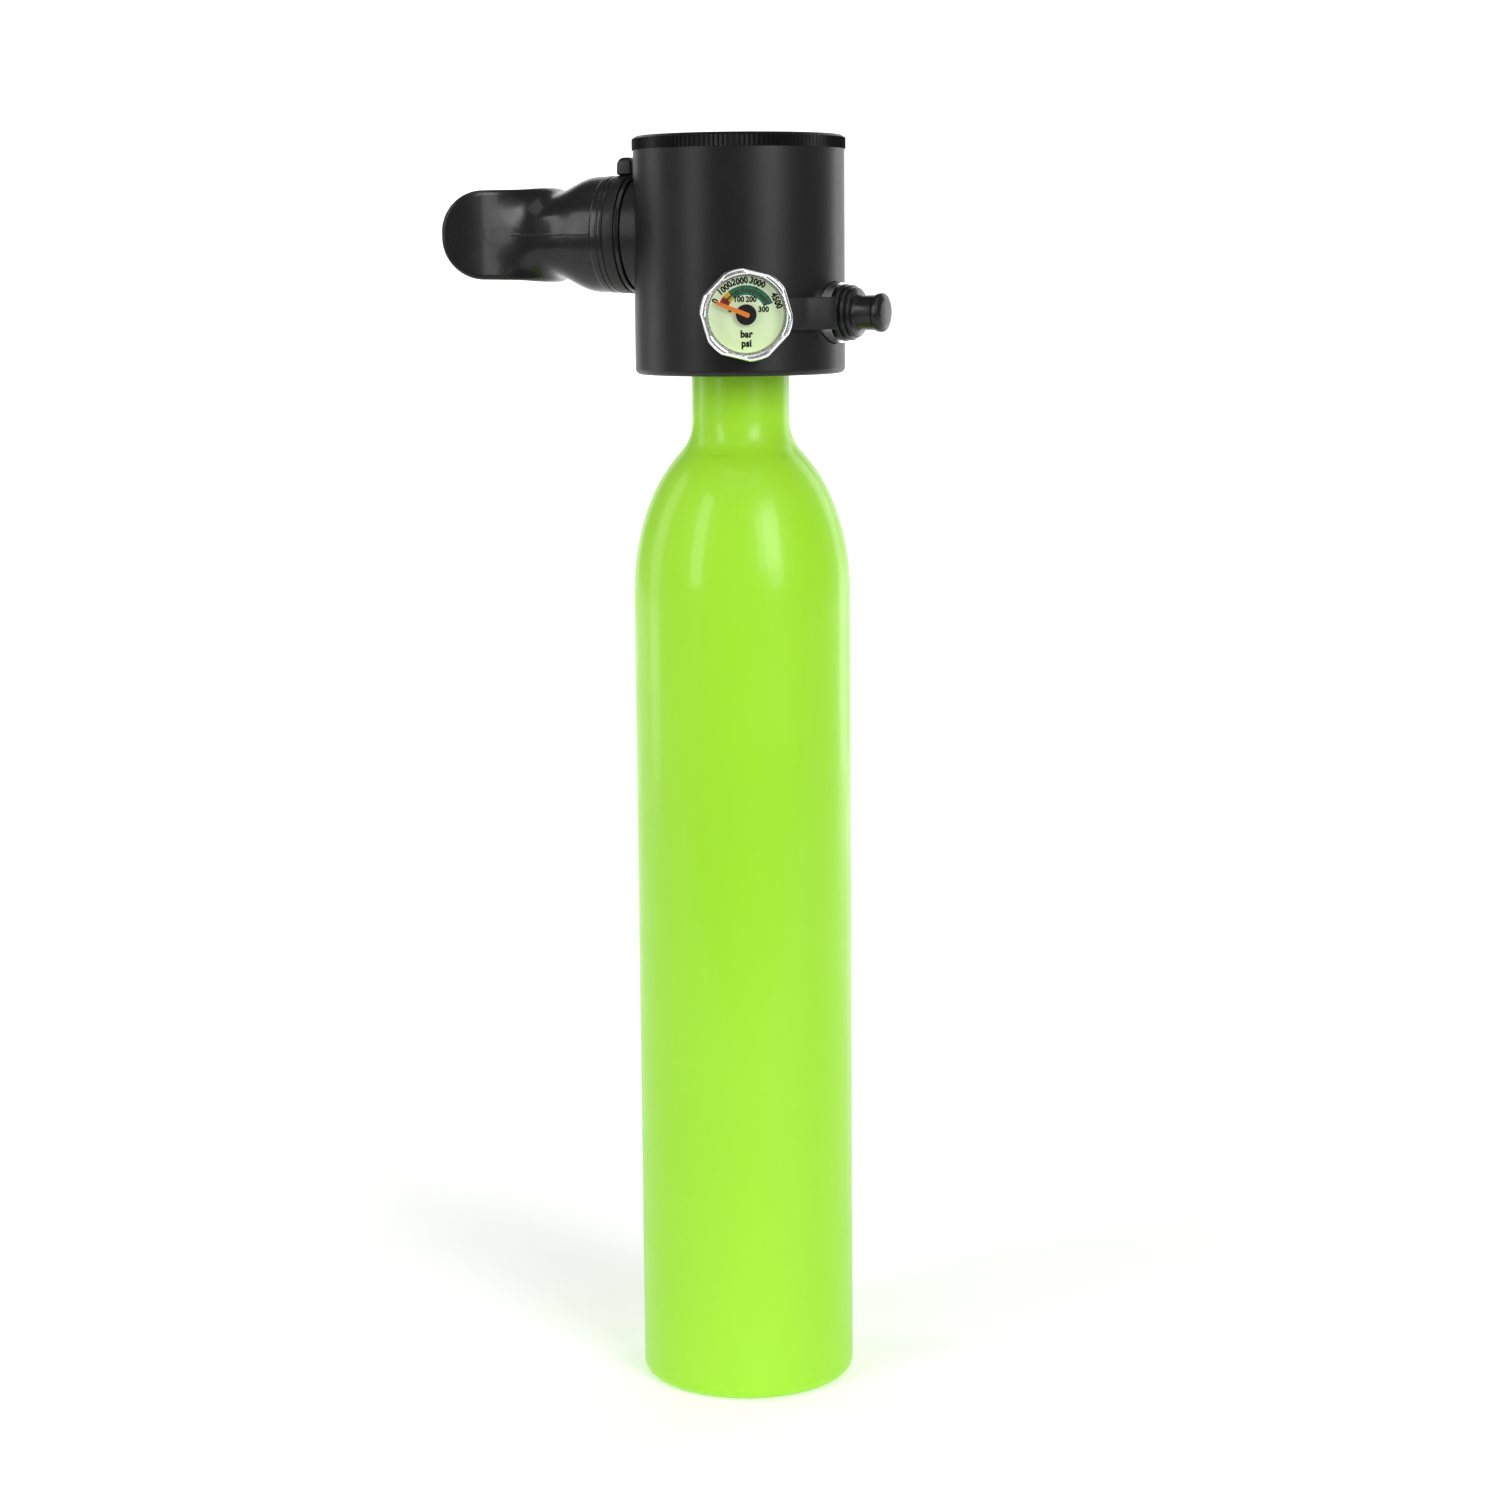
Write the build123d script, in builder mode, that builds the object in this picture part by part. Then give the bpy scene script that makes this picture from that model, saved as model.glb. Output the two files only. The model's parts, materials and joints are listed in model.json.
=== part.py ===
from build123d import *
import os
from math import acos, cos, degrees, radians, sin

# A half-litre hand-held dive cylinder with a screw-on breathing head.
# The head is a round housing. A piston first stage stands in its lower half on the cylinder's
# neck, and a lever-operated demand valve lies above it under a diaphragm and a purge button.
# A pressure gauge, a capped filling nipple and a burst plug screw into the first stage through
# the housing, an exhaust valve sits at the back, and a mouthpiece is tied to a side spigot.
# Frame: +Z up along the cylinder, origin at the centre of its flat base, mouthpiece towards -X.
# Lengths are millimetres and angles are degrees. "Reach" is a distance from the centre line.

# ---- Clearances
fit = 0.05  # between pieces that are screwed, pressed or laid together
slide_gap = 0.08  # round a piece that slides or turns
free_gap = 0.3  # between pieces that must not touch
seat_gap = 0.1  # between a moving piece and what it works against, at rest
seal_gap = 0.03  # round a sliding o-ring
rubber_give = 0.02  # round a rubber insert pressed into its pocket

# ---- Cylinder
tank_radius = 30.0
tank_wall = 4.5
tank_base = 8.0
tank_edge = 3.0
body_height = 223.7
shoulder_rise = 47.0
shoulder_wall = 6.0
shoulder_blend = 12.0
dome_steps = 6  # spans of the shoulder's curve
neck_radius = 13.4
neck_length = 19.3
thread_radius = 9.0

# ---- Housing
housing_radius = 28.7
upper_wall = 2.4
middle_wall = 4.7
lower_wall = 6.3
housing_floor = 2.5
housing_height = 60.1
housing_edge = 1.5
neck_entry = 5.9
diaphragm_depth = 5.7

# ---- First stage
body_radius = 15.0
spigot_length = 22.0
port_rise = 10.5
port_radius = 5.0
port_depth = 6.0
port_shoulder = 6.9
port_ring = 0.6
drilling_radius = 1.5
passage_radius = 1.75
filter_radius = 4.0
filter_pocket = 6.0
filter_height = 2.0
tube_drop = 25.0
guide_radius = 2.6
guide_rise = 3.3
guide_boss = 4.4
orifice_rise = 2.0
orifice_height = 2.5
chamber_radius = 10.0
chamber_height = 13.0
chamber_rise = 6.5
collar_wall = 3.5
vent_radius = 0.7
piston_lift = 1.0
piston_travel = 0.9
piston_head = 3.0
cap_plug = 3.5
cap_flange = 3.0
cap_web = 0.8
spanner_hole = 1.2
spanner_spread = 6.0
spanner_reach = 8.0

# ---- Plate between the dry space and the breathing chamber, and its nut
plate_rise = 2.0
plate_thickness = 1.8
nut_height = 3.0
nut_flats = 31.0

# ---- Ports on the first stage, by azimuth from +X
gauge_azimuth = -67.5
fill_azimuth = -7.5
burst_azimuth = 52.5
spotface_depth = 1.3
spotface_radius = 8.4

# ---- Demand valve, lying along Y above the first stage
barrel_radius = 5.0
barrel_bore = 3.4
barrel_front = 9.0
barrel_back = 19.0
barrel_end_wall = 3.0
saddle_height = 2.6
saddle_length = 7.0
riser_ring = 0.45
riser_ring_radius = 2.4
riser_reach = 4.5
screw_aside = 2.3
screw_spread = barrel_radius + screw_aside
screw_radius = 1.2
screw_bite = 2.0
screw_head = 1.5
orifice_front = 2.6
orifice_back = 4.0
poppet_length = 5.6
stem_radius = 0.95
lever_sheet = 0.8
lever_width = 4.0
pin_radius = 0.6
pivot_rise = 1.7
fork_gap = 0.2

# ---- Diaphragm and purge button
bead_height = 2.0
membrane = 0.7
stiffener_radius = 13.0
stiffener_height = 0.8
guard_thickness = 0.8
ring_radius = 29.0
ring_height = 3.7
ring_lip = 2.3
ring_throat = 22.3
ring_opening = 20.0
ring_chamfer = 0.8
knurl_count = 144
knurl_depth = 0.35
press_boss = 5.5
guard_holes = 8
guard_hole = 2.4

# ---- Outlet spigot and exhaust valve
outlet_rise = 37.9
outlet_bore = 11.2
outlet_radius = 13.3
outlet_boss = 15.2
outlet_length = 7.8
exhaust_bore = 11.0
exhaust_boss = 13.0
exhaust_proud = 2.2
exhaust_lift = 0.8
exhaust_depth = 5.6

# ---- Pressure gauge
gauge_radius = 12.15
gauge_flats = 23.1
gauge_flat_turn = 16.0
gauge_standoff = 2.5
gauge_depth = 9.5
gauge_floor = 1.8
lens_radius = 10.35
lens_height = 1.4
lens_recess = 0.4
lens_edge = 0.5
dial_radius = 9.9
dial_sheet = 0.4
dial_depth = 4.2
needle_length = 8.5
needle_root = 0.75
needle_tip = 0.5
needle_zero = 158.0
hub_radius = 2.7

# ---- Filling nipple and its dust cap
nipple_radius = 4.0
nipple_length = 11.0
nipple_bore = 2.2
nipple_mouth = 1.2
adapter_radius = 8.05
adapter_height = 3.6
check_travel = 1.5
cap_grip = 7.6
cap_grip_length = 4.7
cap_radius = 5.2
cap_end = 1.7
tether_width = 9.0
tether_sheet = 1.9
tether_eye = 9.6
tether_release = -38.0

# ---- Burst plug
burst_flats = 11.4
burst_height = 4.0

# ---- Mouthpiece
collar_radius = 15.9
collar_length = 12.2
tie_width = 3.4
tie_sheet = 1.1
tie_inset = 1.3
tie_groove = 0.8
tie_head_length = 4.4
tie_head_width = 6.5
tie_head_height = 4.8
throat_reach = 51.5
throat_width = 31.0
throat_height = 24.0
airway_width = 22.0
airway_height = 14.0
guard_reach = 54.0
guard_radius = 29.5
guard_depth = 22.2
guard_width = 57.0
guard_height = 24.8
guard_corner = 11.8
guard_sheet = 2.0
tab_near = 12.0
tab_far = 22.0
tab_sheet = 3.6
tab_reach = 74.0
ridge_height = 9.0
ridge_length = 3.0

# ---- Levels, from the base up
neck_top = body_height + shoulder_rise + neck_length
housing_bottom = neck_top - neck_entry
housing_top = housing_bottom + housing_height
outlet_height = housing_bottom + outlet_rise
spigot_bottom = neck_top - spigot_length
port_height = neck_top + port_rise
chamber_floor = port_height + chamber_rise
orifice_bottom = port_height + orifice_rise
orifice_top = orifice_bottom + orifice_height
guide_top = chamber_floor + guide_rise
body_top = chamber_floor + chamber_height
cap_top = body_top + cap_flange
plate_bottom = chamber_floor + plate_rise
plate_top = plate_bottom + plate_thickness
barrel_height = cap_top + barrel_radius
pivot_height = barrel_height + barrel_radius + pivot_rise
diaphragm_seat = housing_top - diaphragm_depth
guard_bottom = diaphragm_seat + bead_height + seat_gap
guard_top = guard_bottom + guard_thickness
ring_top = housing_top + ring_height
ring_step = ring_top - ring_lip

# ---- Reaches, from the centre line out
upper_bore = housing_radius - upper_wall
middle_bore = housing_radius - middle_wall
lower_bore = housing_radius - lower_wall
port_floor = body_radius - port_depth
port_stop = port_floor + free_gap
spotface = housing_radius - spotface_depth
outlet_face = housing_radius + free_gap
outlet_end = housing_radius + outlet_length
exhaust_face = housing_radius + exhaust_proud
gauge_back = housing_radius + gauge_standoff
gauge_front = gauge_back + gauge_depth
adapter_face = spotface + adapter_height
nipple_end = adapter_face + nipple_length
dust_cap_start = adapter_face + free_gap
dust_cap_end = nipple_end + free_gap + cap_end
mouth_start = outlet_face + free_gap + seat_gap
mouth_stop = outlet_end + seat_gap


# ---- Helpers
def outward(azimuth):
    """The horizontal direction at an azimuth."""
    return Vector(cos(radians(azimuth)), sin(radians(azimuth)), 0)


def radial_axis(azimuth, height):
    """The horizontal axis that leaves the centre line at an azimuth."""
    return Axis((0, 0, height), outward(azimuth))


def radial_section(azimuth, height):
    """The upright plane through a radial axis: x runs out along the axis and y runs up."""
    return Plane(origin=(0, 0, height), x_dir=outward(azimuth), z_dir=outward(azimuth - 90))


def radial_face(azimuth, height, reach):
    """The plane square to a radial axis at a reach along it: y runs up."""
    place = outward(azimuth) * reach + Vector(0, 0, height)
    return Plane(origin=place, x_dir=outward(azimuth + 90), z_dir=outward(azimuth))


def outline(plane, *corners):
    """The face inside a closed outline of straight sides."""
    with BuildSketch(plane) as drawn:
        with BuildLine():
            Polyline(*corners, close=True)
        make_face()
    return drawn.sketch


def dome_points(radius, rise, sweep_angle):
    """Points of an upright quarter ellipse on the cylinder's shoulder, from its widest level up."""
    angles = [radians(sweep_angle * step / dome_steps) for step in range(dome_steps + 1)]
    return [(radius * cos(angle), body_height + rise * sin(angle)) for angle in angles]


def dome_tangents(radius, rise, sweep_angle):
    """The directions of the quarter ellipse at its two ends."""
    angle = radians(sweep_angle)
    return [(0, 1), (-radius * sin(angle), rise * cos(angle))]


def band(inner, outer, low, high):
    """A rectangle from inner to outer radius and low to high level, to turn about Z."""
    return outline(Plane.XZ, (inner, low), (outer, low), (outer, high), (inner, high))


def sleeve(section, start, end, inner, outer):
    """A rectangle from start to end along a radial axis between two radii, to turn about it."""
    return outline(section, (start, inner), (end, inner), (end, outer), (start, outer))


def o_ring(plane, major, minor):
    """A ring of round section in a plane."""
    with BuildPart(plane) as ring:
        Torus(major, minor)
    return ring.part


def coil(plane, radius, wire, length, turns):
    """A spring that stands on a plane; wire is the radius of its section."""
    rise = length - 2 * wire
    start = plane.offset(wire).origin
    with BuildPart() as spring:
        with BuildLine() as path:
            Helix(rise / turns, rise, radius, center=tuple(start), direction=tuple(plane.z_dir))
        with BuildSketch(Plane(origin=path.line @ 0, z_dir=path.line % 0)):
            Circle(wire)
        sweep(path=path.line, is_frenet=True)
    return spring.part


gauge_section = radial_section(gauge_azimuth, port_height)
gauge_axis = radial_axis(gauge_azimuth, port_height)
fill_section = radial_section(fill_azimuth, port_height)
fill_axis = radial_axis(fill_azimuth, port_height)
burst_section = radial_section(burst_azimuth, port_height)
burst_axis = radial_axis(burst_azimuth, port_height)
outlet_section = radial_section(180, outlet_height)
outlet_axis = radial_axis(180, outlet_height)
exhaust_section = radial_section(90, outlet_height)
exhaust_axis = radial_axis(90, outlet_height)
barrel_section = radial_section(90, barrel_height)
barrel_axis = radial_axis(90, barrel_height)
side_view = radial_section(90, 0)

# ---- Cylinder: a drawn aluminium vessel with an elliptical shoulder and a threaded neck
neck_angle = degrees(acos(neck_radius / tank_radius))
cavity_radius = tank_radius - tank_wall
cavity_rise = shoulder_rise - shoulder_wall
cavity_angle = degrees(acos(thread_radius / cavity_radius))
with BuildPart() as cylinder:
    with BuildSketch(Plane.XZ):
        with BuildLine():
            foot = Line((0, 0), (tank_radius, 0))
            side = Line(foot @ 1, (tank_radius, body_height))
            shoulder = Spline(
                *dome_points(tank_radius, shoulder_rise, neck_angle),
                tangents=dome_tangents(tank_radius, shoulder_rise, neck_angle),
            )
            neck = Line(shoulder @ 1, (neck_radius, neck_top))
            Polyline(neck @ 1, (0, neck_top), (0, 0))
        make_face()
    revolve(axis=Axis.Z)
    fillet(edges().filter_by(GeomType.CIRCLE).group_by(Axis.Z)[0], tank_edge)
    fillet(edges().filter_by(GeomType.CIRCLE).group_by(Axis.Z)[-2], shoulder_blend)
    with BuildSketch(Plane.XZ):
        with BuildLine():
            floor = Line((0, tank_base), (cavity_radius, tank_base))
            inside = Line(floor @ 1, (cavity_radius, body_height))
            dome = Spline(
                *dome_points(cavity_radius, cavity_rise, cavity_angle),
                tangents=dome_tangents(cavity_radius, cavity_rise, cavity_angle),
            )
            bore = Line(dome @ 1, (thread_radius, neck_top))
            Polyline(bore @ 1, (0, neck_top), (0, tank_base))
        make_face()
    revolve(axis=Axis.Z, mode=Mode.SUBTRACT)

# ---- Valve body: spigot into the neck, three side ports and the piston chamber
collar_outer = chamber_radius + collar_wall
port_recess = port_radius + 2 * port_ring
recess_depth = 2 * port_ring + seat_gap
neck_ring = 0.7
neck_ring_radius = (thread_radius + neck_radius) / 2
with BuildPart() as valve_body:
    revolve(band(0, thread_radius - fit, spigot_bottom, neck_top), axis=Axis.Z)
    revolve(band(0, body_radius, neck_top, plate_bottom), axis=Axis.Z)
    revolve(band(0, collar_outer, plate_bottom, body_top), axis=Axis.Z)
    ring_inner = neck_ring_radius - neck_ring - fit
    ring_outer = neck_ring_radius + neck_ring + fit
    for inner, outer, low, high in (
        (ring_inner, ring_outer, neck_top, neck_top + 2 * neck_ring + fit),
        (0, filter_radius, spigot_bottom, spigot_bottom + filter_pocket),
        (0, passage_radius, spigot_bottom, orifice_bottom),
        (0, guide_radius, orifice_bottom, guide_top),
        (guide_boss, chamber_radius, chamber_floor, guide_top),
        (0, chamber_radius, guide_top, body_top),
    ):
        revolve(band(inner, outer, low, high), axis=Axis.Z, mode=Mode.SUBTRACT)
    for azimuth in (gauge_azimuth, fill_azimuth, burst_azimuth):
        section = radial_section(azimuth, port_height)
        axis = radial_axis(azimuth, port_height)
        for start, end, radius in (
            (0, port_floor, drilling_radius),
            (port_floor, body_radius + 1, port_radius),
            (body_radius - recess_depth, body_radius + 1, port_recess),
        ):
            revolve(sleeve(section, start, end, 0, radius), axis=axis, mode=Mode.SUBTRACT)
    vent_height = chamber_floor + vent_radius + free_gap
    for azimuth in (fill_azimuth + 30, fill_azimuth + 150, fill_azimuth + 270):
        vent = sleeve(radial_section(azimuth, vent_height), guide_boss + 1, body_radius + 1, 0, vent_radius)
        revolve(vent, axis=radial_axis(azimuth, vent_height), mode=Mode.SUBTRACT)

with BuildPart() as neck_o_ring:
    add(o_ring(Plane.XY.offset(neck_top + neck_ring), neck_ring_radius, neck_ring))

# ---- Inlet: a stub tube that keeps grit out, and a sintered filter above it
filter_bottom = spigot_bottom + filter_pocket - filter_height
tube_bore = 1.3
tube_radius = 2.3
tube_hole = 0.5
with BuildPart() as inlet_filter:
    revolve(band(0, filter_radius - fit, filter_bottom, spigot_bottom + filter_pocket), axis=Axis.Z)

with BuildPart() as inlet_tube:
    revolve(band(tube_bore, filter_radius - fit, spigot_bottom, filter_bottom), axis=Axis.Z)
    revolve(band(tube_bore, tube_radius, spigot_bottom - tube_drop, spigot_bottom), axis=Axis.Z)
    with BuildSketch(Plane.XZ):
        with Locations(*[(0, spigot_bottom - tube_drop * step / 6) for step in range(2, 6)]):
            Circle(tube_hole)
    extrude(amount=tube_radius + 1, both=True, mode=Mode.SUBTRACT)

# ---- First stage: orifice, piston with its seat and o-rings, spring and cap
orifice_hole = 0.9
with BuildPart() as inlet_orifice:
    revolve(band(orifice_hole, guide_radius - fit, orifice_bottom, orifice_top), axis=Axis.Z)

piston_tip = orifice_top + piston_lift
head_bottom = guide_top + piston_travel + free_gap
head_top = head_bottom + piston_head
stem_outer = guide_radius - slide_gap
stem_bore = 1.1
stem_nose = 2.1
nose_height = 1.9
insert_radius = 1.6
insert_height = 0.8
cross_hole = 0.4
stem_ring = 0.45
stem_ring_height = piston_tip + nose_height + 1.3
head_ring = 0.6
head_ring_height = head_bottom + piston_head / 2
with BuildPart() as piston:
    revolve(band(0, stem_nose, piston_tip, piston_tip + nose_height), axis=Axis.Z)
    revolve(band(0, stem_outer, piston_tip + nose_height, head_bottom), axis=Axis.Z)
    revolve(band(0, chamber_radius - slide_gap, head_bottom, head_top), axis=Axis.Z)
    for ring, radius, height in (
        (stem_ring, guide_radius, stem_ring_height),
        (head_ring, chamber_radius, head_ring_height),
    ):
        groove = band(radius - seal_gap - 2 * ring - fit, radius, height - ring - fit, height + ring + fit)
        revolve(groove, axis=Axis.Z, mode=Mode.SUBTRACT)
    revolve(band(0, insert_radius, piston_tip, piston_tip + insert_height), axis=Axis.Z, mode=Mode.SUBTRACT)
    revolve(band(0, stem_bore, piston_tip + insert_height, head_top), axis=Axis.Z, mode=Mode.SUBTRACT)
    with BuildSketch(Plane.XZ):
        with Locations((0, piston_tip + insert_height + cross_hole + free_gap / 2)):
            Circle(cross_hole)
    extrude(amount=stem_nose + 1, both=True, mode=Mode.SUBTRACT)

with BuildPart() as piston_seat:
    insert_top = piston_tip + insert_height - rubber_give
    revolve(band(0, insert_radius - rubber_give, piston_tip, insert_top), axis=Axis.Z)

with BuildPart() as stem_o_ring:
    add(o_ring(Plane.XY.offset(stem_ring_height), guide_radius - seal_gap - stem_ring, stem_ring))

with BuildPart() as piston_o_ring:
    add(o_ring(Plane.XY.offset(head_ring_height), chamber_radius - seal_gap - head_ring, head_ring))

piston_wire = 0.6
piston_coil = (guide_boss + chamber_radius) / 2
piston_turns = 2.25
with BuildPart() as piston_spring:
    room = head_bottom - chamber_floor - 2 * seat_gap
    add(coil(Plane.XY.offset(chamber_floor + seat_gap), piston_coil, piston_wire, room, piston_turns))

cap_ring = 0.6
cap_ring_height = body_top - cap_plug / 2
with BuildPart() as first_stage_cap:
    revolve(band(0, chamber_radius - fit, body_top - cap_plug, body_top), axis=Axis.Z)
    revolve(band(0, collar_outer, body_top, cap_top), axis=Axis.Z)
    groove_floor = chamber_radius - 2 * cap_ring - fit
    half = cap_ring + fit
    groove = band(groove_floor, chamber_radius, cap_ring_height - half, cap_ring_height + half)
    revolve(groove, axis=Axis.Z, mode=Mode.SUBTRACT)
    with BuildSketch(Plane.XY.offset(body_top - cap_plug)):
        with Locations((0, riser_reach)):
            Circle(drilling_radius)
    extrude(amount=cap_plug + cap_flange, mode=Mode.SUBTRACT)
    with BuildSketch(Plane.XY.offset(cap_top)):
        with Locations((-screw_spread, riser_reach), (screw_spread, riser_reach)):
            Circle(screw_radius + fit)
        with Locations((-spanner_spread, -spanner_reach), (spanner_spread, -spanner_reach)):
            Circle(spanner_hole)
    extrude(amount=cap_web - cap_flange, mode=Mode.SUBTRACT)

with BuildPart() as cap_o_ring:
    add(o_ring(Plane.XY.offset(cap_ring_height), chamber_radius - cap_ring, cap_ring))

# ---- Housing: bored in three steps from the top, with an outlet spigot and an exhaust boss
with BuildPart() as housing:
    revolve(band(0, housing_radius, housing_bottom, housing_top), axis=Axis.Z)
    fillet(edges().filter_by(GeomType.CIRCLE).group_by(Axis.Z)[0], housing_edge)
    revolve(sleeve(outlet_section, 0, outlet_face, 0, outlet_boss), axis=outlet_axis)
    revolve(sleeve(outlet_section, 0, outlet_end, 0, outlet_radius), axis=outlet_axis)
    revolve(sleeve(exhaust_section, 0, exhaust_face, 0, exhaust_boss), axis=exhaust_axis)
    for radius, low, high in (
        (neck_radius + free_gap, housing_bottom, housing_bottom + housing_floor),
        (lower_bore, housing_bottom + housing_floor, plate_bottom),
        (middle_bore, plate_bottom, diaphragm_seat),
        (upper_bore, diaphragm_seat, housing_top),
    ):
        revolve(band(0, radius, low, high), axis=Axis.Z, mode=Mode.SUBTRACT)
    revolve(sleeve(outlet_section, 0, outlet_end, 0, outlet_bore), axis=outlet_axis, mode=Mode.SUBTRACT)
    exhaust_hole = sleeve(exhaust_section, 0, exhaust_face, 0, exhaust_bore)
    revolve(exhaust_hole, axis=exhaust_axis, mode=Mode.SUBTRACT)
    for azimuth in (gauge_azimuth, fill_azimuth, burst_azimuth):
        section = radial_section(azimuth, port_height)
        axis = radial_axis(azimuth, port_height)
        hole = sleeve(section, 0, housing_radius + 1, 0, port_shoulder + slide_gap)
        revolve(hole, axis=axis, mode=Mode.SUBTRACT)
        flat = sleeve(section, spotface, housing_radius + 1, 0, spotface_radius)
        revolve(flat, axis=axis, mode=Mode.SUBTRACT)

# ---- Plate that closes the breathing chamber at the bottom, its o-ring and its nut
plate_ring = 0.4
plate_middle = plate_bottom + plate_thickness / 2
with BuildPart() as chamber_plate:
    revolve(band(collar_outer + fit, middle_bore - fit, plate_bottom, plate_top), axis=Axis.Z)
    groove_floor = middle_bore - 2 * plate_ring - fit
    half = plate_ring + fit
    groove = band(groove_floor, middle_bore, plate_middle - half, plate_middle + half)
    revolve(groove, axis=Axis.Z, mode=Mode.SUBTRACT)

with BuildPart() as plate_o_ring:
    add(o_ring(Plane.XY.offset(plate_middle), middle_bore - plate_ring, plate_ring))

with BuildPart() as lock_nut:
    with BuildSketch(Plane.XY.offset(plate_top)):
        RegularPolygon(nut_flats / 2, 6, major_radius=False)
        Circle(collar_outer + fit, mode=Mode.SUBTRACT)
    extrude(amount=nut_height)

# ---- Demand valve barrel with its saddle, ears for the lever pin, and side outlets
ear_inner = lever_width / 2 + free_gap
ear_sheet = 1.0
ear_radius = 1.8
pivot_reach = -(barrel_back + fork_gap + lever_sheet / 2)
bore_back = barrel_end_wall - barrel_back
barrel_vent = 1.5
vent_reach = -orifice_back - 2.5
with BuildPart() as demand_barrel:
    revolve(sleeve(barrel_section, -barrel_back, barrel_front, 0, barrel_radius), axis=barrel_axis)
    with BuildSketch(Plane.XY.offset(cap_top)):
        with Locations((0, riser_reach)):
            Rectangle(2 * barrel_bore, saddle_length)
    extrude(amount=barrel_radius)
    with BuildSketch(Plane.XY.offset(cap_top)):
        with Locations((0, riser_reach)):
            Rectangle(2 * (screw_spread + 2 * screw_radius), saddle_length)
    extrude(amount=saddle_height)
    ear = (
        (-barrel_back + ear_radius, barrel_height),
        (-barrel_back + ear_radius, pivot_height + ear_radius),
        (pivot_reach - ear_radius, pivot_height + ear_radius),
        (pivot_reach - ear_radius, pivot_height - ear_radius),
        (-barrel_back, barrel_height),
    )
    for side in (-1, 1):
        near = side * ear_inner if side > 0 else side * (ear_inner + ear_sheet)
        extrude(outline(side_view.offset(near), *ear), amount=ear_sheet)
    bore = sleeve(barrel_section, bore_back, barrel_front, 0, barrel_bore)
    revolve(bore, axis=barrel_axis, mode=Mode.SUBTRACT)
    guide = sleeve(barrel_section, -barrel_back, bore_back, 0, stem_radius + free_gap)
    revolve(guide, axis=barrel_axis, mode=Mode.SUBTRACT)
    with BuildSketch(Plane.XY.offset(cap_top)):
        with Locations((0, riser_reach)):
            Circle(drilling_radius)
        with Locations((-screw_spread, riser_reach), (screw_spread, riser_reach)):
            Circle(screw_radius + fit)
    extrude(amount=barrel_radius, mode=Mode.SUBTRACT)
    with BuildSketch(Plane.XY.offset(cap_top)):
        with Locations((0, riser_reach)):
            Circle(riser_ring_radius + riser_ring + fit)
            Circle(riser_ring_radius - riser_ring - fit, mode=Mode.SUBTRACT)
    extrude(amount=2 * riser_ring + fit, mode=Mode.SUBTRACT)
    with BuildSketch(Plane.YZ):
        with Locations((vent_reach, barrel_height)):
            Circle(barrel_vent)
        with Locations((pivot_reach, pivot_height)):
            Circle(pin_radius + fit / 5)
    extrude(amount=barrel_radius + 1, both=True, mode=Mode.SUBTRACT)

with BuildPart() as riser_o_ring:
    with Locations((0, riser_reach, cap_top + riser_ring)):
        Torus(riser_ring_radius, riser_ring)

with BuildPart() as barrel_screws:
    with BuildSketch(Plane.XY.offset(cap_top - screw_bite)):
        with Locations((-screw_spread, riser_reach), (screw_spread, riser_reach)):
            Circle(screw_radius)
    extrude(amount=screw_bite + saddle_height)
    with BuildSketch(Plane.XY.offset(cap_top + saddle_height)):
        with Locations((-screw_spread, riser_reach), (screw_spread, riser_reach)):
            Circle(1.7 * screw_radius)
            RegularPolygon(0.7 * screw_radius, 6, mode=Mode.SUBTRACT)
    extrude(amount=screw_head)

plug_start = riser_reach + drilling_radius + 0.4
plug_head = 1.6
plug_key = 2.0
with BuildPart() as barrel_plug:
    revolve(sleeve(barrel_section, plug_start, barrel_front, 0, barrel_bore - fit), axis=barrel_axis)
    head = sleeve(barrel_section, barrel_front, barrel_front + plug_head, 0, barrel_radius)
    revolve(head, axis=barrel_axis)
    with BuildSketch(radial_face(90, barrel_height, barrel_front + plug_head)):
        RegularPolygon(plug_key, 6)
    extrude(amount=-plug_key, mode=Mode.SUBTRACT)

orifice_ring = 0.45
knife_height = 0.8
knife_radius = 2.2
orifice_ring_reach = (orifice_front - orifice_back) / 2
with BuildPart() as demand_orifice:
    tube = sleeve(barrel_section, -orifice_back, orifice_front, drilling_radius, barrel_bore - fit)
    revolve(tube, axis=barrel_axis)
    nose = sleeve(barrel_section, -orifice_back, knife_height - orifice_back, knife_radius, barrel_bore)
    revolve(nose, axis=barrel_axis, mode=Mode.SUBTRACT)
    groove = sleeve(
        barrel_section,
        orifice_ring_reach - orifice_ring - fit,
        orifice_ring_reach + orifice_ring + fit,
        barrel_bore - 2 * orifice_ring - fit,
        barrel_bore,
    )
    revolve(groove, axis=barrel_axis, mode=Mode.SUBTRACT)

with BuildPart() as orifice_o_ring:
    ring_plane = radial_face(90, barrel_height, orifice_ring_reach)
    add(o_ring(ring_plane, barrel_bore - orifice_ring, orifice_ring))

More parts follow.
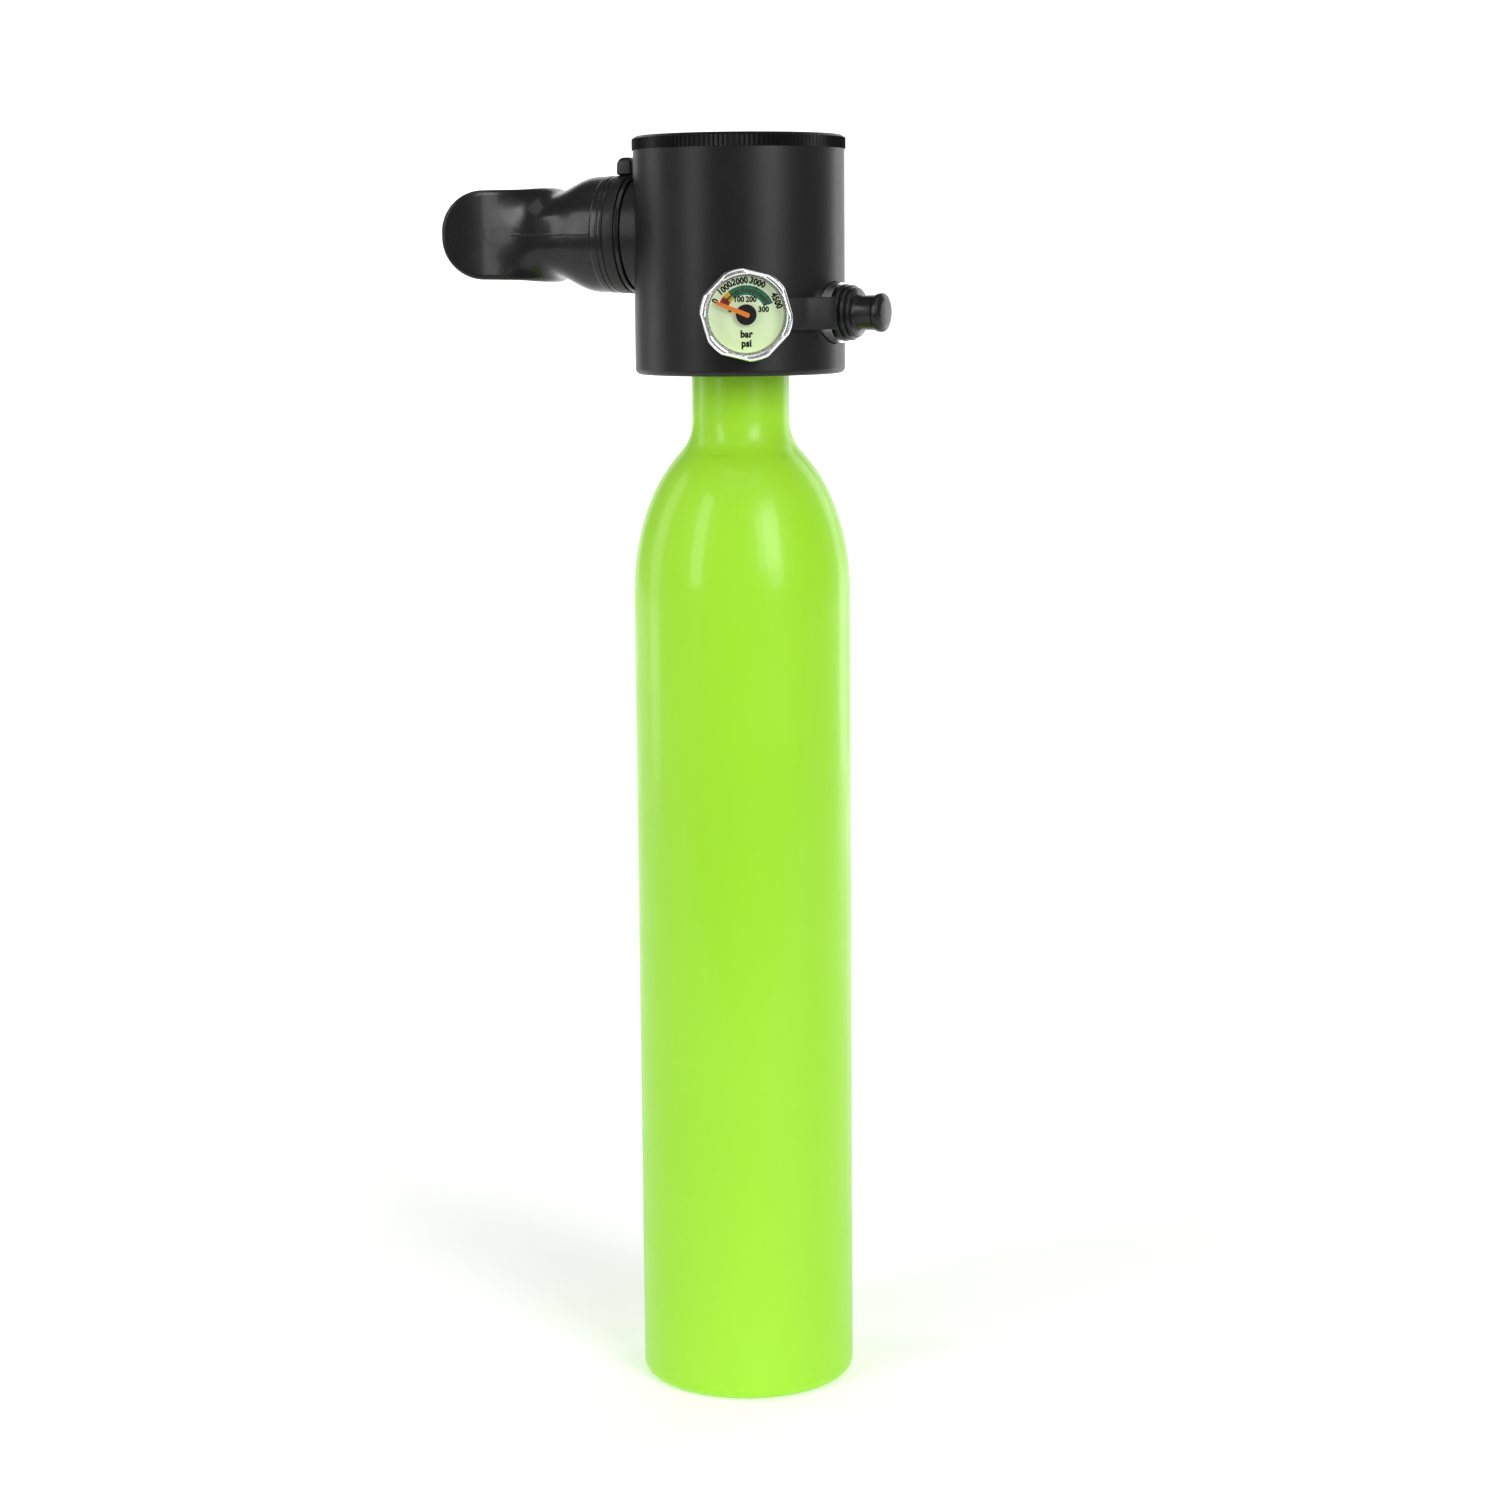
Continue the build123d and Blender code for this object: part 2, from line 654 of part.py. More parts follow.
# ---- Poppet, its rubber seat, spring and nut
poppet_radius = barrel_bore - free_gap
poppet_front = -orifice_back - free_gap
poppet_back = poppet_front - poppet_length
poppet_seat_radius = 2.3
poppet_pocket = 1.0
flute_radius = 0.8
nut_start = pivot_reach - lever_sheet / 2 - free_gap
nut_length = 1.9
nut_radius = 1.9
with BuildPart() as demand_poppet:
    revolve(sleeve(barrel_section, poppet_back, poppet_front, 0, poppet_radius), axis=barrel_axis)
    revolve(sleeve(barrel_section, nut_start - nut_length, poppet_back, 0, stem_radius), axis=barrel_axis)
    pocket = sleeve(barrel_section, poppet_front - poppet_pocket, poppet_front, 0, poppet_seat_radius)
    revolve(pocket, axis=barrel_axis, mode=Mode.SUBTRACT)
    with BuildSketch(radial_face(90, barrel_height, poppet_front)):
        with PolarLocations(poppet_radius + 0.2, 6):
            Circle(flute_radius)
    extrude(amount=-poppet_length, mode=Mode.SUBTRACT)

with BuildPart() as poppet_seat:
    seat = sleeve(
        barrel_section,
        poppet_front - poppet_pocket,
        -orifice_back - seat_gap,
        0,
        poppet_seat_radius - rubber_give,
    )
    revolve(seat, axis=barrel_axis)

poppet_wire = 0.35
poppet_coil = 2.2
poppet_turns = 4
with BuildPart() as poppet_spring:
    room = poppet_back - bore_back - 2 * seat_gap
    plane = radial_face(90, barrel_height, bore_back + seat_gap)
    add(coil(plane, poppet_coil, poppet_wire, room, poppet_turns))

with BuildPart() as poppet_nut:
    nut = sleeve(barrel_section, nut_start - nut_length, nut_start, stem_radius + rubber_give, nut_radius)
    revolve(nut, axis=barrel_axis)

# ---- Lever: a sheet arm under the diaphragm, a knuckle on the pin and a fork round the stem
arm_top = diaphragm_seat - seat_gap - stiffener_height - free_gap
half_sheet = lever_sheet / 2
fork_bottom = barrel_height - stem_radius
leg_inner = stem_radius + free_gap
arm_pad = 1.5
knuckle_radius = 1.4
fork_web = 2.0
with BuildPart() as demand_lever:
    arm = outline(
        side_view,
        (pivot_reach, pivot_height - half_sheet),
        (-arm_pad, arm_top - lever_sheet),
        (arm_pad, arm_top - lever_sheet),
        (arm_pad, arm_top),
        (-arm_pad, arm_top),
        (pivot_reach, pivot_height + half_sheet),
    )
    extrude(arm, amount=lever_width / 2, both=True)
    with BuildSketch(Plane.YZ):
        with Locations((pivot_reach, pivot_height)):
            Circle(knuckle_radius)
    extrude(amount=lever_width / 2, both=True)
    leg = outline(
        side_view,
        (pivot_reach - half_sheet, fork_bottom),
        (pivot_reach + half_sheet, fork_bottom),
        (pivot_reach + half_sheet, pivot_height),
        (pivot_reach - half_sheet, pivot_height),
    )
    extrude(leg, amount=lever_width / 2, both=True)
    slot = outline(
        side_view,
        (pivot_reach - lever_sheet, fork_bottom - lever_sheet),
        (pivot_reach + lever_sheet, fork_bottom - lever_sheet),
        (pivot_reach + lever_sheet, pivot_height - fork_web),
        (pivot_reach - lever_sheet, pivot_height - fork_web),
    )
    extrude(slot, amount=leg_inner, both=True, mode=Mode.SUBTRACT)
    with BuildSketch(Plane.YZ):
        with Locations((pivot_reach, pivot_height)):
            Circle(pin_radius + slide_gap)
    extrude(amount=lever_width, both=True, mode=Mode.SUBTRACT)

with BuildPart() as lever_pin:
    with BuildSketch(Plane.YZ):
        with Locations((pivot_reach, pivot_height)):
            Circle(pin_radius)
    extrude(amount=ear_inner + ear_sheet + free_gap, both=True)

# ---- Diaphragm clamped at its bead, its stiffener, and the perforated guard above it
bead_inner = middle_bore + 2 * seat_gap
bead_outer = upper_bore - seat_gap
with BuildPart() as diaphragm:
    revolve(band(bead_inner, bead_outer, diaphragm_seat, diaphragm_seat + bead_height), axis=Axis.Z)
    revolve(band(0, bead_inner, diaphragm_seat, diaphragm_seat + membrane), axis=Axis.Z)

with BuildPart() as diaphragm_plate:
    plate_level = diaphragm_seat - seat_gap
    revolve(band(0, stiffener_radius, plate_level - stiffener_height, plate_level), axis=Axis.Z)

with BuildPart() as diaphragm_guard:
    with BuildSketch(Plane.XY.offset(guard_bottom)):
        Circle(upper_bore - fit)
        Circle(press_boss + free_gap, mode=Mode.SUBTRACT)
        with PolarLocations((upper_bore + press_boss) / 2 + bead_height, guard_holes):
            Circle(guard_hole, mode=Mode.SUBTRACT)
    extrude(amount=guard_thickness)

# ---- Knurled ring that screws into the housing and holds the purge button
thread_depth = housing_top - guard_top - seat_gap
with BuildPart() as retaining_ring:
    with BuildSketch(Plane.XY.offset(housing_top)):
        with BuildLine():
            knurl = []
            for step in range(2 * knurl_count):
                knurl.append(outward(180 * step / knurl_count) * (ring_radius - knurl_depth * (step % 2)))
            Polyline(*knurl, close=True)
        make_face()
    extrude(amount=ring_height)
    crown = outline(
        Plane.XZ,
        (ring_radius - ring_chamfer - knurl_depth, ring_top),
        (ring_radius + 1, ring_top),
        (ring_radius + 1, ring_top - ring_chamfer - 1),
        (ring_radius, ring_top - ring_chamfer),
    )
    revolve(crown, axis=Axis.Z, mode=Mode.SUBTRACT)
    revolve(band(0, upper_bore - fit, housing_top - thread_depth, housing_top), axis=Axis.Z)
    revolve(band(0, ring_throat, housing_top - thread_depth, ring_step), axis=Axis.Z, mode=Mode.SUBTRACT)
    revolve(band(0, ring_opening, ring_step, ring_top), axis=Axis.Z, mode=Mode.SUBTRACT)

# ---- Purge button: a stepped disc with a press boss, and its spring
button_flange = ring_throat - free_gap - seat_gap
button_flange_top = ring_step - 2 * seat_gap
button_rim = 0.9
button_sheet = 1.2
button_top = ring_top - free_gap
button_recess = button_top - button_sheet
button_edge = 0.5
spring_radius = 11.0
spring_wire = 0.35
spring_turns = 3
spring_room = 3.0
ripple_radii = (11.0, 15.0)
ripple_width = 0.6
ripple_depth = 0.3
with BuildPart() as purge_button:
    revolve(band(0, button_flange, button_flange_top - button_rim, button_flange_top), axis=Axis.Z)
    revolve(band(0, ring_opening - free_gap, button_flange_top, button_top), axis=Axis.Z)
    revolve(band(0, press_boss, diaphragm_seat + membrane + 2 * seat_gap, button_flange_top), axis=Axis.Z)
    spring_inner = spring_radius - spring_room
    spring_outer = spring_radius + spring_room
    recess = band(spring_inner, spring_outer, button_flange_top - button_rim, button_recess)
    revolve(recess, axis=Axis.Z, mode=Mode.SUBTRACT)
    fillet(edges().filter_by(GeomType.CIRCLE).group_by(Axis.Z)[-1], button_edge)
    for radius in ripple_radii:
        ripple = band(radius - ripple_width, radius, button_top - ripple_depth, button_top)
        revolve(ripple, axis=Axis.Z, mode=Mode.SUBTRACT)

with BuildPart() as purge_spring:
    room = button_recess - guard_top - 2 * seat_gap
    add(coil(Plane.XY.offset(guard_top + seat_gap), spring_radius, spring_wire, room, spring_turns))

# ---- Exhaust: spoked seat, mushroom valve and louvred cover
seat_sheet = 1.1
seat_rim = 1.5
seat_depth = 3.4
spoke_sheet = 1.0
spoke_width = 1.6
spoke_hub = 2.6
hub_hole = 1.25
valve_start = exhaust_face + seat_sheet + seat_gap
valve_sheet = 0.8
valve_stem = 1.0
barb_radius = 1.8
barb_length = 1.5
barb_end = exhaust_face - spoke_sheet - exhaust_lift - seat_gap
with BuildPart() as exhaust_seat:
    plug_inner = exhaust_bore - seat_rim
    plug = sleeve(exhaust_section, exhaust_face - seat_depth, exhaust_face, plug_inner, exhaust_bore - fit)
    revolve(plug, axis=exhaust_axis)
    flange = sleeve(
        exhaust_section,
        exhaust_face,
        exhaust_face + seat_sheet,
        plug_inner,
        exhaust_boss - free_gap,
    )
    revolve(flange, axis=exhaust_axis)
    with BuildSketch(radial_face(90, outlet_height, exhaust_face - spoke_sheet)):
        Circle(spoke_hub)
        with PolarLocations(exhaust_bore / 2, 4):
            Rectangle(exhaust_bore - seat_rim, spoke_width)
        Circle(hub_hole, mode=Mode.SUBTRACT)
    extrude(amount=spoke_sheet + seat_sheet)

with BuildPart() as exhaust_valve:
    disc_radius = exhaust_bore + valve_sheet / 2
    disc = sleeve(exhaust_section, valve_start, valve_start + valve_sheet, 0, disc_radius)
    revolve(disc, axis=exhaust_axis)
    revolve(sleeve(exhaust_section, barb_end - barb_length, valve_start, 0, valve_stem), axis=exhaust_axis)
    revolve(sleeve(exhaust_section, barb_end - barb_length, barb_end, 0, barb_radius), axis=exhaust_axis)

cover_sheet = 1.2
cover_edge = 0.8
louvres = 12
louvre_width = 3.0
slot_length = 14.0
slot_width = 1.8
slot_pitch = 6.0
with BuildPart() as exhaust_cover:
    cover_radius = exhaust_boss + fit + cover_sheet
    cover_front = exhaust_face + exhaust_depth
    cup = sleeve(exhaust_section, housing_radius + seat_gap, cover_front, 0, cover_radius)
    revolve(cup, axis=exhaust_axis)
    fillet(edges().filter_by(GeomType.CIRCLE).group_by(Axis.Y)[-1], cover_edge)
    hollow = sleeve(
        exhaust_section,
        housing_radius + seat_gap,
        cover_front - cover_sheet,
        0,
        exhaust_boss + fit,
    )
    revolve(hollow, axis=exhaust_axis, mode=Mode.SUBTRACT)
    with BuildSketch(radial_face(90, outlet_height, exhaust_face + cover_sheet / 2)):
        with PolarLocations(cover_radius - cover_sheet / 2, louvres):
            Rectangle(3 * cover_sheet, louvre_width)
    extrude(amount=exhaust_depth - 2 * cover_sheet, mode=Mode.SUBTRACT)
    with BuildSketch(radial_face(90, outlet_height, cover_front)):
        with Locations((0, -slot_pitch), (0, 0), (0, slot_pitch)):
            SlotOverall(slot_length, slot_width)
    extrude(amount=-2 * cover_sheet, mode=Mode.SUBTRACT)

# ---- Pressure gauge: case with stem, Bourdon tube, movement, dial, needle and lens
lens_bottom = gauge_front - lens_recess - lens_height
gauge_inside = gauge_back + gauge_floor
dial_front = gauge_front - dial_depth
gauge_bore = 1.0
with BuildPart() as gauge_case:
    with BuildSketch(radial_face(gauge_azimuth, port_height, gauge_back)):
        Circle(gauge_radius)
        RegularPolygon(
            gauge_flats / 2, 6, major_radius=False, rotation=gauge_flat_turn - 30, mode=Mode.INTERSECT
        )
    extrude(amount=gauge_depth)
    revolve(sleeve(gauge_section, body_radius, gauge_back, 0, port_shoulder), axis=gauge_axis)
    revolve(sleeve(gauge_section, port_stop, body_radius, 0, port_radius - fit), axis=gauge_axis)
    for start, end, radius in (
        (port_stop, gauge_inside, gauge_bore),
        (gauge_inside, lens_bottom, dial_radius + seat_gap),
        (lens_bottom, gauge_front, lens_radius + fit),
    ):
        revolve(sleeve(gauge_section, start, end, 0, radius), axis=gauge_axis, mode=Mode.SUBTRACT)

bourdon_rise = 1.6
bourdon_radius = 7.2
bourdon_tube = 0.9
bourdon_sweep = 260
socket_sheet = 0.6
socket_radius = 3.0
socket_arm = 2.2
with BuildPart() as gauge_tube:
    socket = sleeve(gauge_section, gauge_inside, gauge_inside + socket_sheet, gauge_bore, socket_radius)
    revolve(socket, axis=gauge_axis)
    with BuildSketch(radial_face(gauge_azimuth, port_height, gauge_inside)):
        with Locations((0, -bourdon_radius / 2)):
            Rectangle(socket_arm, bourdon_radius)
        Circle(gauge_bore, mode=Mode.SUBTRACT)
    extrude(amount=socket_sheet)
    with BuildLine(radial_face(gauge_azimuth, port_height, gauge_inside + bourdon_rise)) as bend:
        CenterArc((0, 0), bourdon_radius, -90, bourdon_sweep)
    with BuildSketch(Plane(origin=bend.line @ 0, z_dir=bend.line % 0)):
        Circle(bourdon_tube)
    sweep(path=bend.line)
    with BuildSketch(radial_face(gauge_azimuth, port_height, gauge_inside)):
        with Locations((0, -bourdon_radius)):
            Circle(socket_arm / 2)
    extrude(amount=bourdon_rise)

movement_sheet = 1.0
movement_radius = 4.6
spindle_hole = 0.6
post_radius = 0.7
post_reach = 2.2
movement_bottom = dial_front - dial_sheet - movement_sheet
with BuildPart() as gauge_movement:
    with BuildSketch(radial_face(gauge_azimuth, port_height, movement_bottom)):
        Circle(movement_radius)
        Circle(spindle_hole, mode=Mode.SUBTRACT)
    extrude(amount=movement_sheet)
    with BuildSketch(radial_face(gauge_azimuth, port_height, gauge_inside + socket_sheet)):
        with Locations((-post_reach, 0), (post_reach, 0)):
            Circle(post_radius)
    extrude(amount=movement_bottom - gauge_inside - socket_sheet)

with BuildPart() as gauge_dial:
    dial = sleeve(gauge_section, dial_front - dial_sheet, dial_front, 1.0, dial_radius)
    revolve(dial, axis=gauge_axis)

needle_rise = 0.5
needle_bottom = dial_front + needle_rise
needle_sheet = 0.3
needle_ring = 1.6
spindle_radius = 0.5
hub_sheet = 0.5
across = outward(gauge_azimuth + 90) * cos(radians(needle_zero))
pointing = across + Vector(0, 0, sin(radians(needle_zero)))
dial_centre = radial_face(gauge_azimuth, port_height, needle_bottom).origin
with BuildPart() as gauge_needle:
    needle = outline(
        Plane(origin=dial_centre, x_dir=pointing, z_dir=outward(gauge_azimuth)),
        (1.0, -needle_root),
        (needle_length, -needle_tip),
        (needle_length, needle_tip),
        (1.0, needle_root),
    )
    extrude(needle, amount=needle_sheet)
    needle_top = needle_bottom + needle_sheet
    ring = sleeve(gauge_section, needle_bottom, needle_top, spindle_radius + fit, needle_ring)
    revolve(ring, axis=gauge_axis)

with BuildPart() as needle_hub:
    hub_bottom = needle_bottom + needle_sheet
    revolve(sleeve(gauge_section, hub_bottom, hub_bottom + hub_sheet, 0, hub_radius), axis=gauge_axis)
    spindle_bottom = movement_bottom + 2 * seat_gap
    revolve(sleeve(gauge_section, spindle_bottom, hub_bottom, 0, spindle_radius), axis=gauge_axis)

with BuildPart() as gauge_lens:
    revolve(sleeve(gauge_section, lens_bottom, lens_bottom + lens_height, 0, lens_radius), axis=gauge_axis)
    fillet(faces().sort_by(gauge_axis)[-1].edges(), lens_edge)

# ---- Filling nipple with its check valve
mouth_length = 4.5
waist_start = 3.4
waist_end = 1.8
waist_depth = 0.7
check_length = 4.0
flute_reach = 0.8
check_flute = 0.6
spring_length = 6.0
check_wire = 0.25
check_coil = 1.5
check_turns = 6
clip_sheet = 0.8
check_seat = nipple_end - mouth_length
check_start = check_seat - seat_gap - check_length
clip_reach = check_start - check_travel - spring_length
with BuildPart() as fill_nipple:
    for start, end, radius in (
        (port_stop, body_radius, port_radius - fit),
        (body_radius, spotface, port_shoulder),
        (spotface, adapter_face, adapter_radius),
        (adapter_face, nipple_end, nipple_radius),
    ):
        revolve(sleeve(fill_section, start, end, 0, radius), axis=fill_axis)
    waist_radius = nipple_radius - waist_depth
    for start, end, inner, outer in (
        (nipple_end - waist_start, nipple_end - waist_end, waist_radius, nipple_radius),
        (port_stop, check_seat, 0, nipple_bore),
        (check_seat, nipple_end, 0, nipple_mouth),
    ):
        revolve(sleeve(fill_section, start, end, inner, outer), axis=fill_axis, mode=Mode.SUBTRACT)

with BuildPart() as fill_check_poppet:
    check_end = check_start + check_length
    revolve(sleeve(fill_section, check_start, check_end, 0, nipple_bore - slide_gap), axis=fill_axis)
    with BuildSketch(radial_face(fill_azimuth, port_height, check_start)):
        with PolarLocations(nipple_bore, 3):
            Circle(check_flute)
    extrude(amount=check_length - flute_reach, mode=Mode.SUBTRACT)

with BuildPart() as check_clip:
    clip_outer = nipple_bore - rubber_give
    clip = sleeve(fill_section, clip_reach - clip_sheet, clip_reach, nipple_mouth, clip_outer)
    revolve(clip, axis=fill_axis)

with BuildPart() as fill_check_spring:
    room = check_start - clip_reach - 2 * seat_gap
    plane = radial_face(fill_azimuth, port_height, clip_reach + seat_gap)
    add(coil(plane, check_coil, check_wire, room, check_turns))

# ---- Burst plug and its disc
disc_sheet = free_gap - fit
plug_disc = 1.0
vent_rise = 1.8
vent_hole = 0.8
with BuildPart() as burst_plug:
    revolve(sleeve(burst_section, port_stop, body_radius, 0, port_radius - fit), axis=burst_axis)
    revolve(sleeve(burst_section, body_radius, spotface, 0, port_shoulder), axis=burst_axis)
    with BuildSketch(radial_face(burst_azimuth, port_height, spotface)):
        RegularPolygon(burst_flats / 2, 6, major_radius=False)
        Circle(port_shoulder)
    extrude(amount=plug_disc)
    with BuildSketch(radial_face(burst_azimuth, port_height, spotface + plug_disc)):
        RegularPolygon(burst_flats / 2, 6, major_radius=False)
    extrude(amount=burst_height - plug_disc)
    vent_end = spotface + vent_rise + vent_hole
    drilling = sleeve(burst_section, port_stop, vent_end, 0, drilling_radius)
    revolve(drilling, axis=burst_axis, mode=Mode.SUBTRACT)
    side_vent = Plane(origin=outward(burst_azimuth) * (spotface + vent_rise) + Vector(0, 0, port_height))
    with BuildSketch(side_vent):
        Circle(vent_hole)
    extrude(amount=burst_flats, both=True, mode=Mode.SUBTRACT)

with BuildPart() as burst_disc:
    disc_radius = port_radius - 2 * seat_gap
    revolve(sleeve(burst_section, port_floor, port_floor + disc_sheet, 0, disc_radius), axis=burst_axis)

# ---- O-rings of the three ports
with BuildPart() as port_o_rings:
    for azimuth in (gauge_azimuth, fill_azimuth, burst_azimuth):
        ring_plane = radial_face(azimuth, port_height, body_radius - port_ring)
        add(o_ring(ring_plane, port_radius + port_ring, port_ring))

# ---- Dust cap: ribbed grip collar and a plain closed sleeve over the nipple
grip_end = dust_cap_start + cap_grip_length
grip_ribs = 4
rib_groove = 0.4
cap_edge = 1.2
cap_bore = nipple_radius + slide_gap
with BuildPart() as dust_cap:
    revolve(sleeve(fill_section, dust_cap_start, grip_end, 0, cap_grip), axis=fill_axis)
    rib_pitch = cap_grip_length / (grip_ribs + 1)
    for rib in range(1, grip_ribs + 1):
        middle = dust_cap_start + rib * rib_pitch
        half = rib_groove / 2
        groove = sleeve(fill_section, middle - half, middle + half, cap_grip - rib_groove, cap_grip)
        revolve(groove, axis=fill_axis, mode=Mode.SUBTRACT)
    revolve(sleeve(fill_section, grip_end, dust_cap_end, 0, cap_radius), axis=fill_axis)
    fillet(faces().sort_by(fill_axis)[-1].edges(), cap_edge)
    inside = sleeve(fill_section, dust_cap_start, nipple_end + free_gap, 0, cap_bore)
    revolve(inside, axis=fill_axis, mode=Mode.SUBTRACT)

# ---- Tether: an eye round the gauge stem and a strap along the housing to the dust cap
tether_middle = housing_radius + 2 * seat_gap + tether_sheet / 2
strap_end = outward(fill_azimuth) * (dust_cap_start + tether_sheet / 2 + 2 * seat_gap)
strap_end -= outward(fill_azimuth + 90) * (cap_grip + free_gap)
with BuildPart() as cap_tether:
    with BuildSketch(Plane.XY.offset(port_height - tether_width / 2)):
        with BuildLine():
            eye_side = gauge_azimuth + degrees(port_shoulder / tether_middle) + 4
            hug = CenterArc((0, 0), tether_middle, eye_side, tether_release - eye_side)
            Spline(hug @ 1, strap_end, tangents=(hug % 1, outward(fill_azimuth + 75)))
        trace(line_width=tether_sheet)
    extrude(amount=tether_width)
    with BuildSketch(radial_face(gauge_azimuth, port_height, body_radius)):
        Circle(tether_eye)
    extrude(amount=tether_middle + tether_sheet / 2 - body_radius)
    shell_low = port_height - 2 * tether_width
    shell_high = port_height + 2 * tether_width
    shell = band(tether_middle - tether_sheet / 2, dust_cap_end, shell_low, shell_high)
    revolve(shell, axis=Axis.Z, mode=Mode.INTERSECT)
    eye = sleeve(gauge_section, body_radius, gauge_front, 0, port_shoulder + slide_gap)
    revolve(eye, axis=gauge_axis, mode=Mode.SUBTRACT)

# ---- Mouthpiece: collar, tapering tube, lip guard and two bite tabs with ridges
tie_start = mouth_start + tie_inset
collar_end = mouth_start + collar_length
guard_centre = Plane(origin=(-guard_reach - guard_radius, 0, outlet_height))
guard_inner = guard_radius - guard_sheet
tube_end = guard_reach + 3 * guard_sheet
tab_width = tab_far - tab_near
tab_middle = (tab_near + tab_far) / 2
tab_length = tab_reach - guard_reach - guard_sheet
tab_tip = guard_radius + guard_reach - tab_reach
with BuildPart() as lip_guard:
    with BuildSketch(guard_centre):
        Circle(guard_radius)
        Circle(guard_inner, mode=Mode.SUBTRACT)
    extrude(amount=guard_height, both=True)
    with BuildSketch(radial_face(180, outlet_height, guard_reach - 1)):
        RectangleRounded(guard_width, guard_height, guard_corner)
    extrude(amount=guard_depth + 1, mode=Mode.INTERSECT)

with BuildPart() as bite_tabs:
    with BuildSketch(guard_centre):
        for side in (-1, 1):
            with Locations((tab_tip + tab_length / 2, side * tab_middle)):
                Rectangle(tab_length, tab_width)
        Circle(guard_radius - guard_sheet / 2, mode=Mode.INTERSECT)
    extrude(amount=tab_sheet / 2, both=True)
    with BuildSketch(guard_centre):
        for side in (-1, 1):
            with Locations((tab_tip + ridge_length / 2, side * tab_middle)):
                Rectangle(ridge_length, tab_width)
    extrude(amount=ridge_height / 2, both=True)

with BuildPart() as mouthpiece:
    revolve(sleeve(outlet_section, mouth_start, collar_end, 0, collar_radius), axis=outlet_axis)
    with BuildSketch(radial_face(180, outlet_height, collar_end - free_gap)):
        Ellipse(collar_radius - fit, collar_radius - 2 * fit)
    with BuildSketch(radial_face(180, outlet_height, throat_reach)):
        Ellipse(throat_width / 2, throat_height / 2)
    with BuildSketch(radial_face(180, outlet_height, tube_end)):
        Ellipse(throat_width / 2, throat_height / 2 - free_gap)
    loft(ruled=True)
    with BuildSketch(guard_centre):
        Circle(guard_inner)
    extrude(amount=guard_height, both=True, mode=Mode.SUBTRACT)
    add(lip_guard.part)
    fitted = sleeve(outlet_section, mouth_start, mouth_stop, 0, outlet_radius + fit)
    revolve(fitted, axis=outlet_axis, mode=Mode.SUBTRACT)
    with BuildSketch(radial_face(180, outlet_height, mouth_stop)):
        Ellipse(outlet_bore, outlet_bore - 2 * fit)
    with BuildSketch(radial_face(180, outlet_height, tube_end)):
        Ellipse(airway_width / 2, airway_height / 2)
    loft(mode=Mode.SUBTRACT)
    add(bite_tabs.part)
    groove_floor = collar_radius - tie_groove
    groove = sleeve(outlet_section, tie_start, tie_start + tie_width, groove_floor, collar_radius + 1)
    revolve(groove, axis=outlet_axis, mode=Mode.SUBTRACT)

# ---- Cable tie with its lock head on top
tie_inner = collar_radius - tie_groove
with BuildPart() as mouthpiece_tie:
    tie_end = tie_start + tie_width
    strap = sleeve(outlet_section, tie_start + fit, tie_end - fit, tie_inner, tie_inner + tie_sheet)
    revolve(strap, axis=outlet_axis)
    with BuildSketch(Plane.XY.offset(outlet_height + collar_radius + fit)):
        with Locations((-tie_start - tie_width / 2, 0)):
            RectangleRounded(tie_head_length, tie_head_width, free_gap)
    extrude(amount=tie_head_height)
    revolve(sleeve(outlet_section, 0, throat_reach, 0, tie_inner), axis=outlet_axis, mode=Mode.SUBTRACT)

# ---- Labels and files
pieces = {
    "cylinder": cylinder,
    "valve_body": valve_body,
    "neck_o_ring": neck_o_ring,
    "inlet_filter": inlet_filter,
    "inlet_tube": inlet_tube,
    "inlet_orifice": inlet_orifice,
    "piston": piston,
    "piston_seat": piston_seat,
    "stem_o_ring": stem_o_ring,
    "piston_o_ring": piston_o_ring,
    "piston_spring": piston_spring,
    "first_stage_cap": first_stage_cap,
    "cap_o_ring": cap_o_ring,
    "housing": housing,
    "chamber_plate": chamber_plate,
    "plate_o_ring": plate_o_ring,
    "lock_nut": lock_nut,
    "demand_barrel": demand_barrel,
    "riser_o_ring": riser_o_ring,
    "barrel_screws": barrel_screws,
    "barrel_plug": barrel_plug,
    "demand_orifice": demand_orifice,
    "orifice_o_ring": orifice_o_ring,
    "demand_poppet": demand_poppet,
    "poppet_seat": poppet_seat,
    "poppet_spring": poppet_spring,
    "poppet_nut": poppet_nut,
    "demand_lever": demand_lever,
    "lever_pin": lever_pin,
    "diaphragm": diaphragm,
    "diaphragm_plate": diaphragm_plate,
    "diaphragm_guard": diaphragm_guard,
    "retaining_ring": retaining_ring,
    "purge_button": purge_button,
    "purge_spring": purge_spring,
    "exhaust_seat": exhaust_seat,
    "exhaust_valve": exhaust_valve,
    "exhaust_cover": exhaust_cover,
    "gauge_case": gauge_case,
    "gauge_tube": gauge_tube,
    "gauge_movement": gauge_movement,
    "gauge_dial": gauge_dial,
    "gauge_needle": gauge_needle,
    "needle_hub": needle_hub,
    "gauge_lens": gauge_lens,
    "fill_nipple": fill_nipple,
    "fill_check_poppet": fill_check_poppet,
    "check_clip": check_clip,
    "fill_check_spring": fill_check_spring,
    "burst_plug": burst_plug,
    "burst_disc": burst_disc,
    "port_o_rings": port_o_rings,
    "dust_cap": dust_cap,
    "cap_tether": cap_tether,
    "mouthpiece": mouthpiece,
    "mouthpiece_tie": mouthpiece_tie,
}
os.makedirs("parts", exist_ok=True)
for name, piece in pieces.items():
    piece.part.label = name
    export_step(piece.part, f"parts/{name}.step")
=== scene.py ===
import json
import math

import bpy
import numpy as np
from mathutils import Matrix, Vector


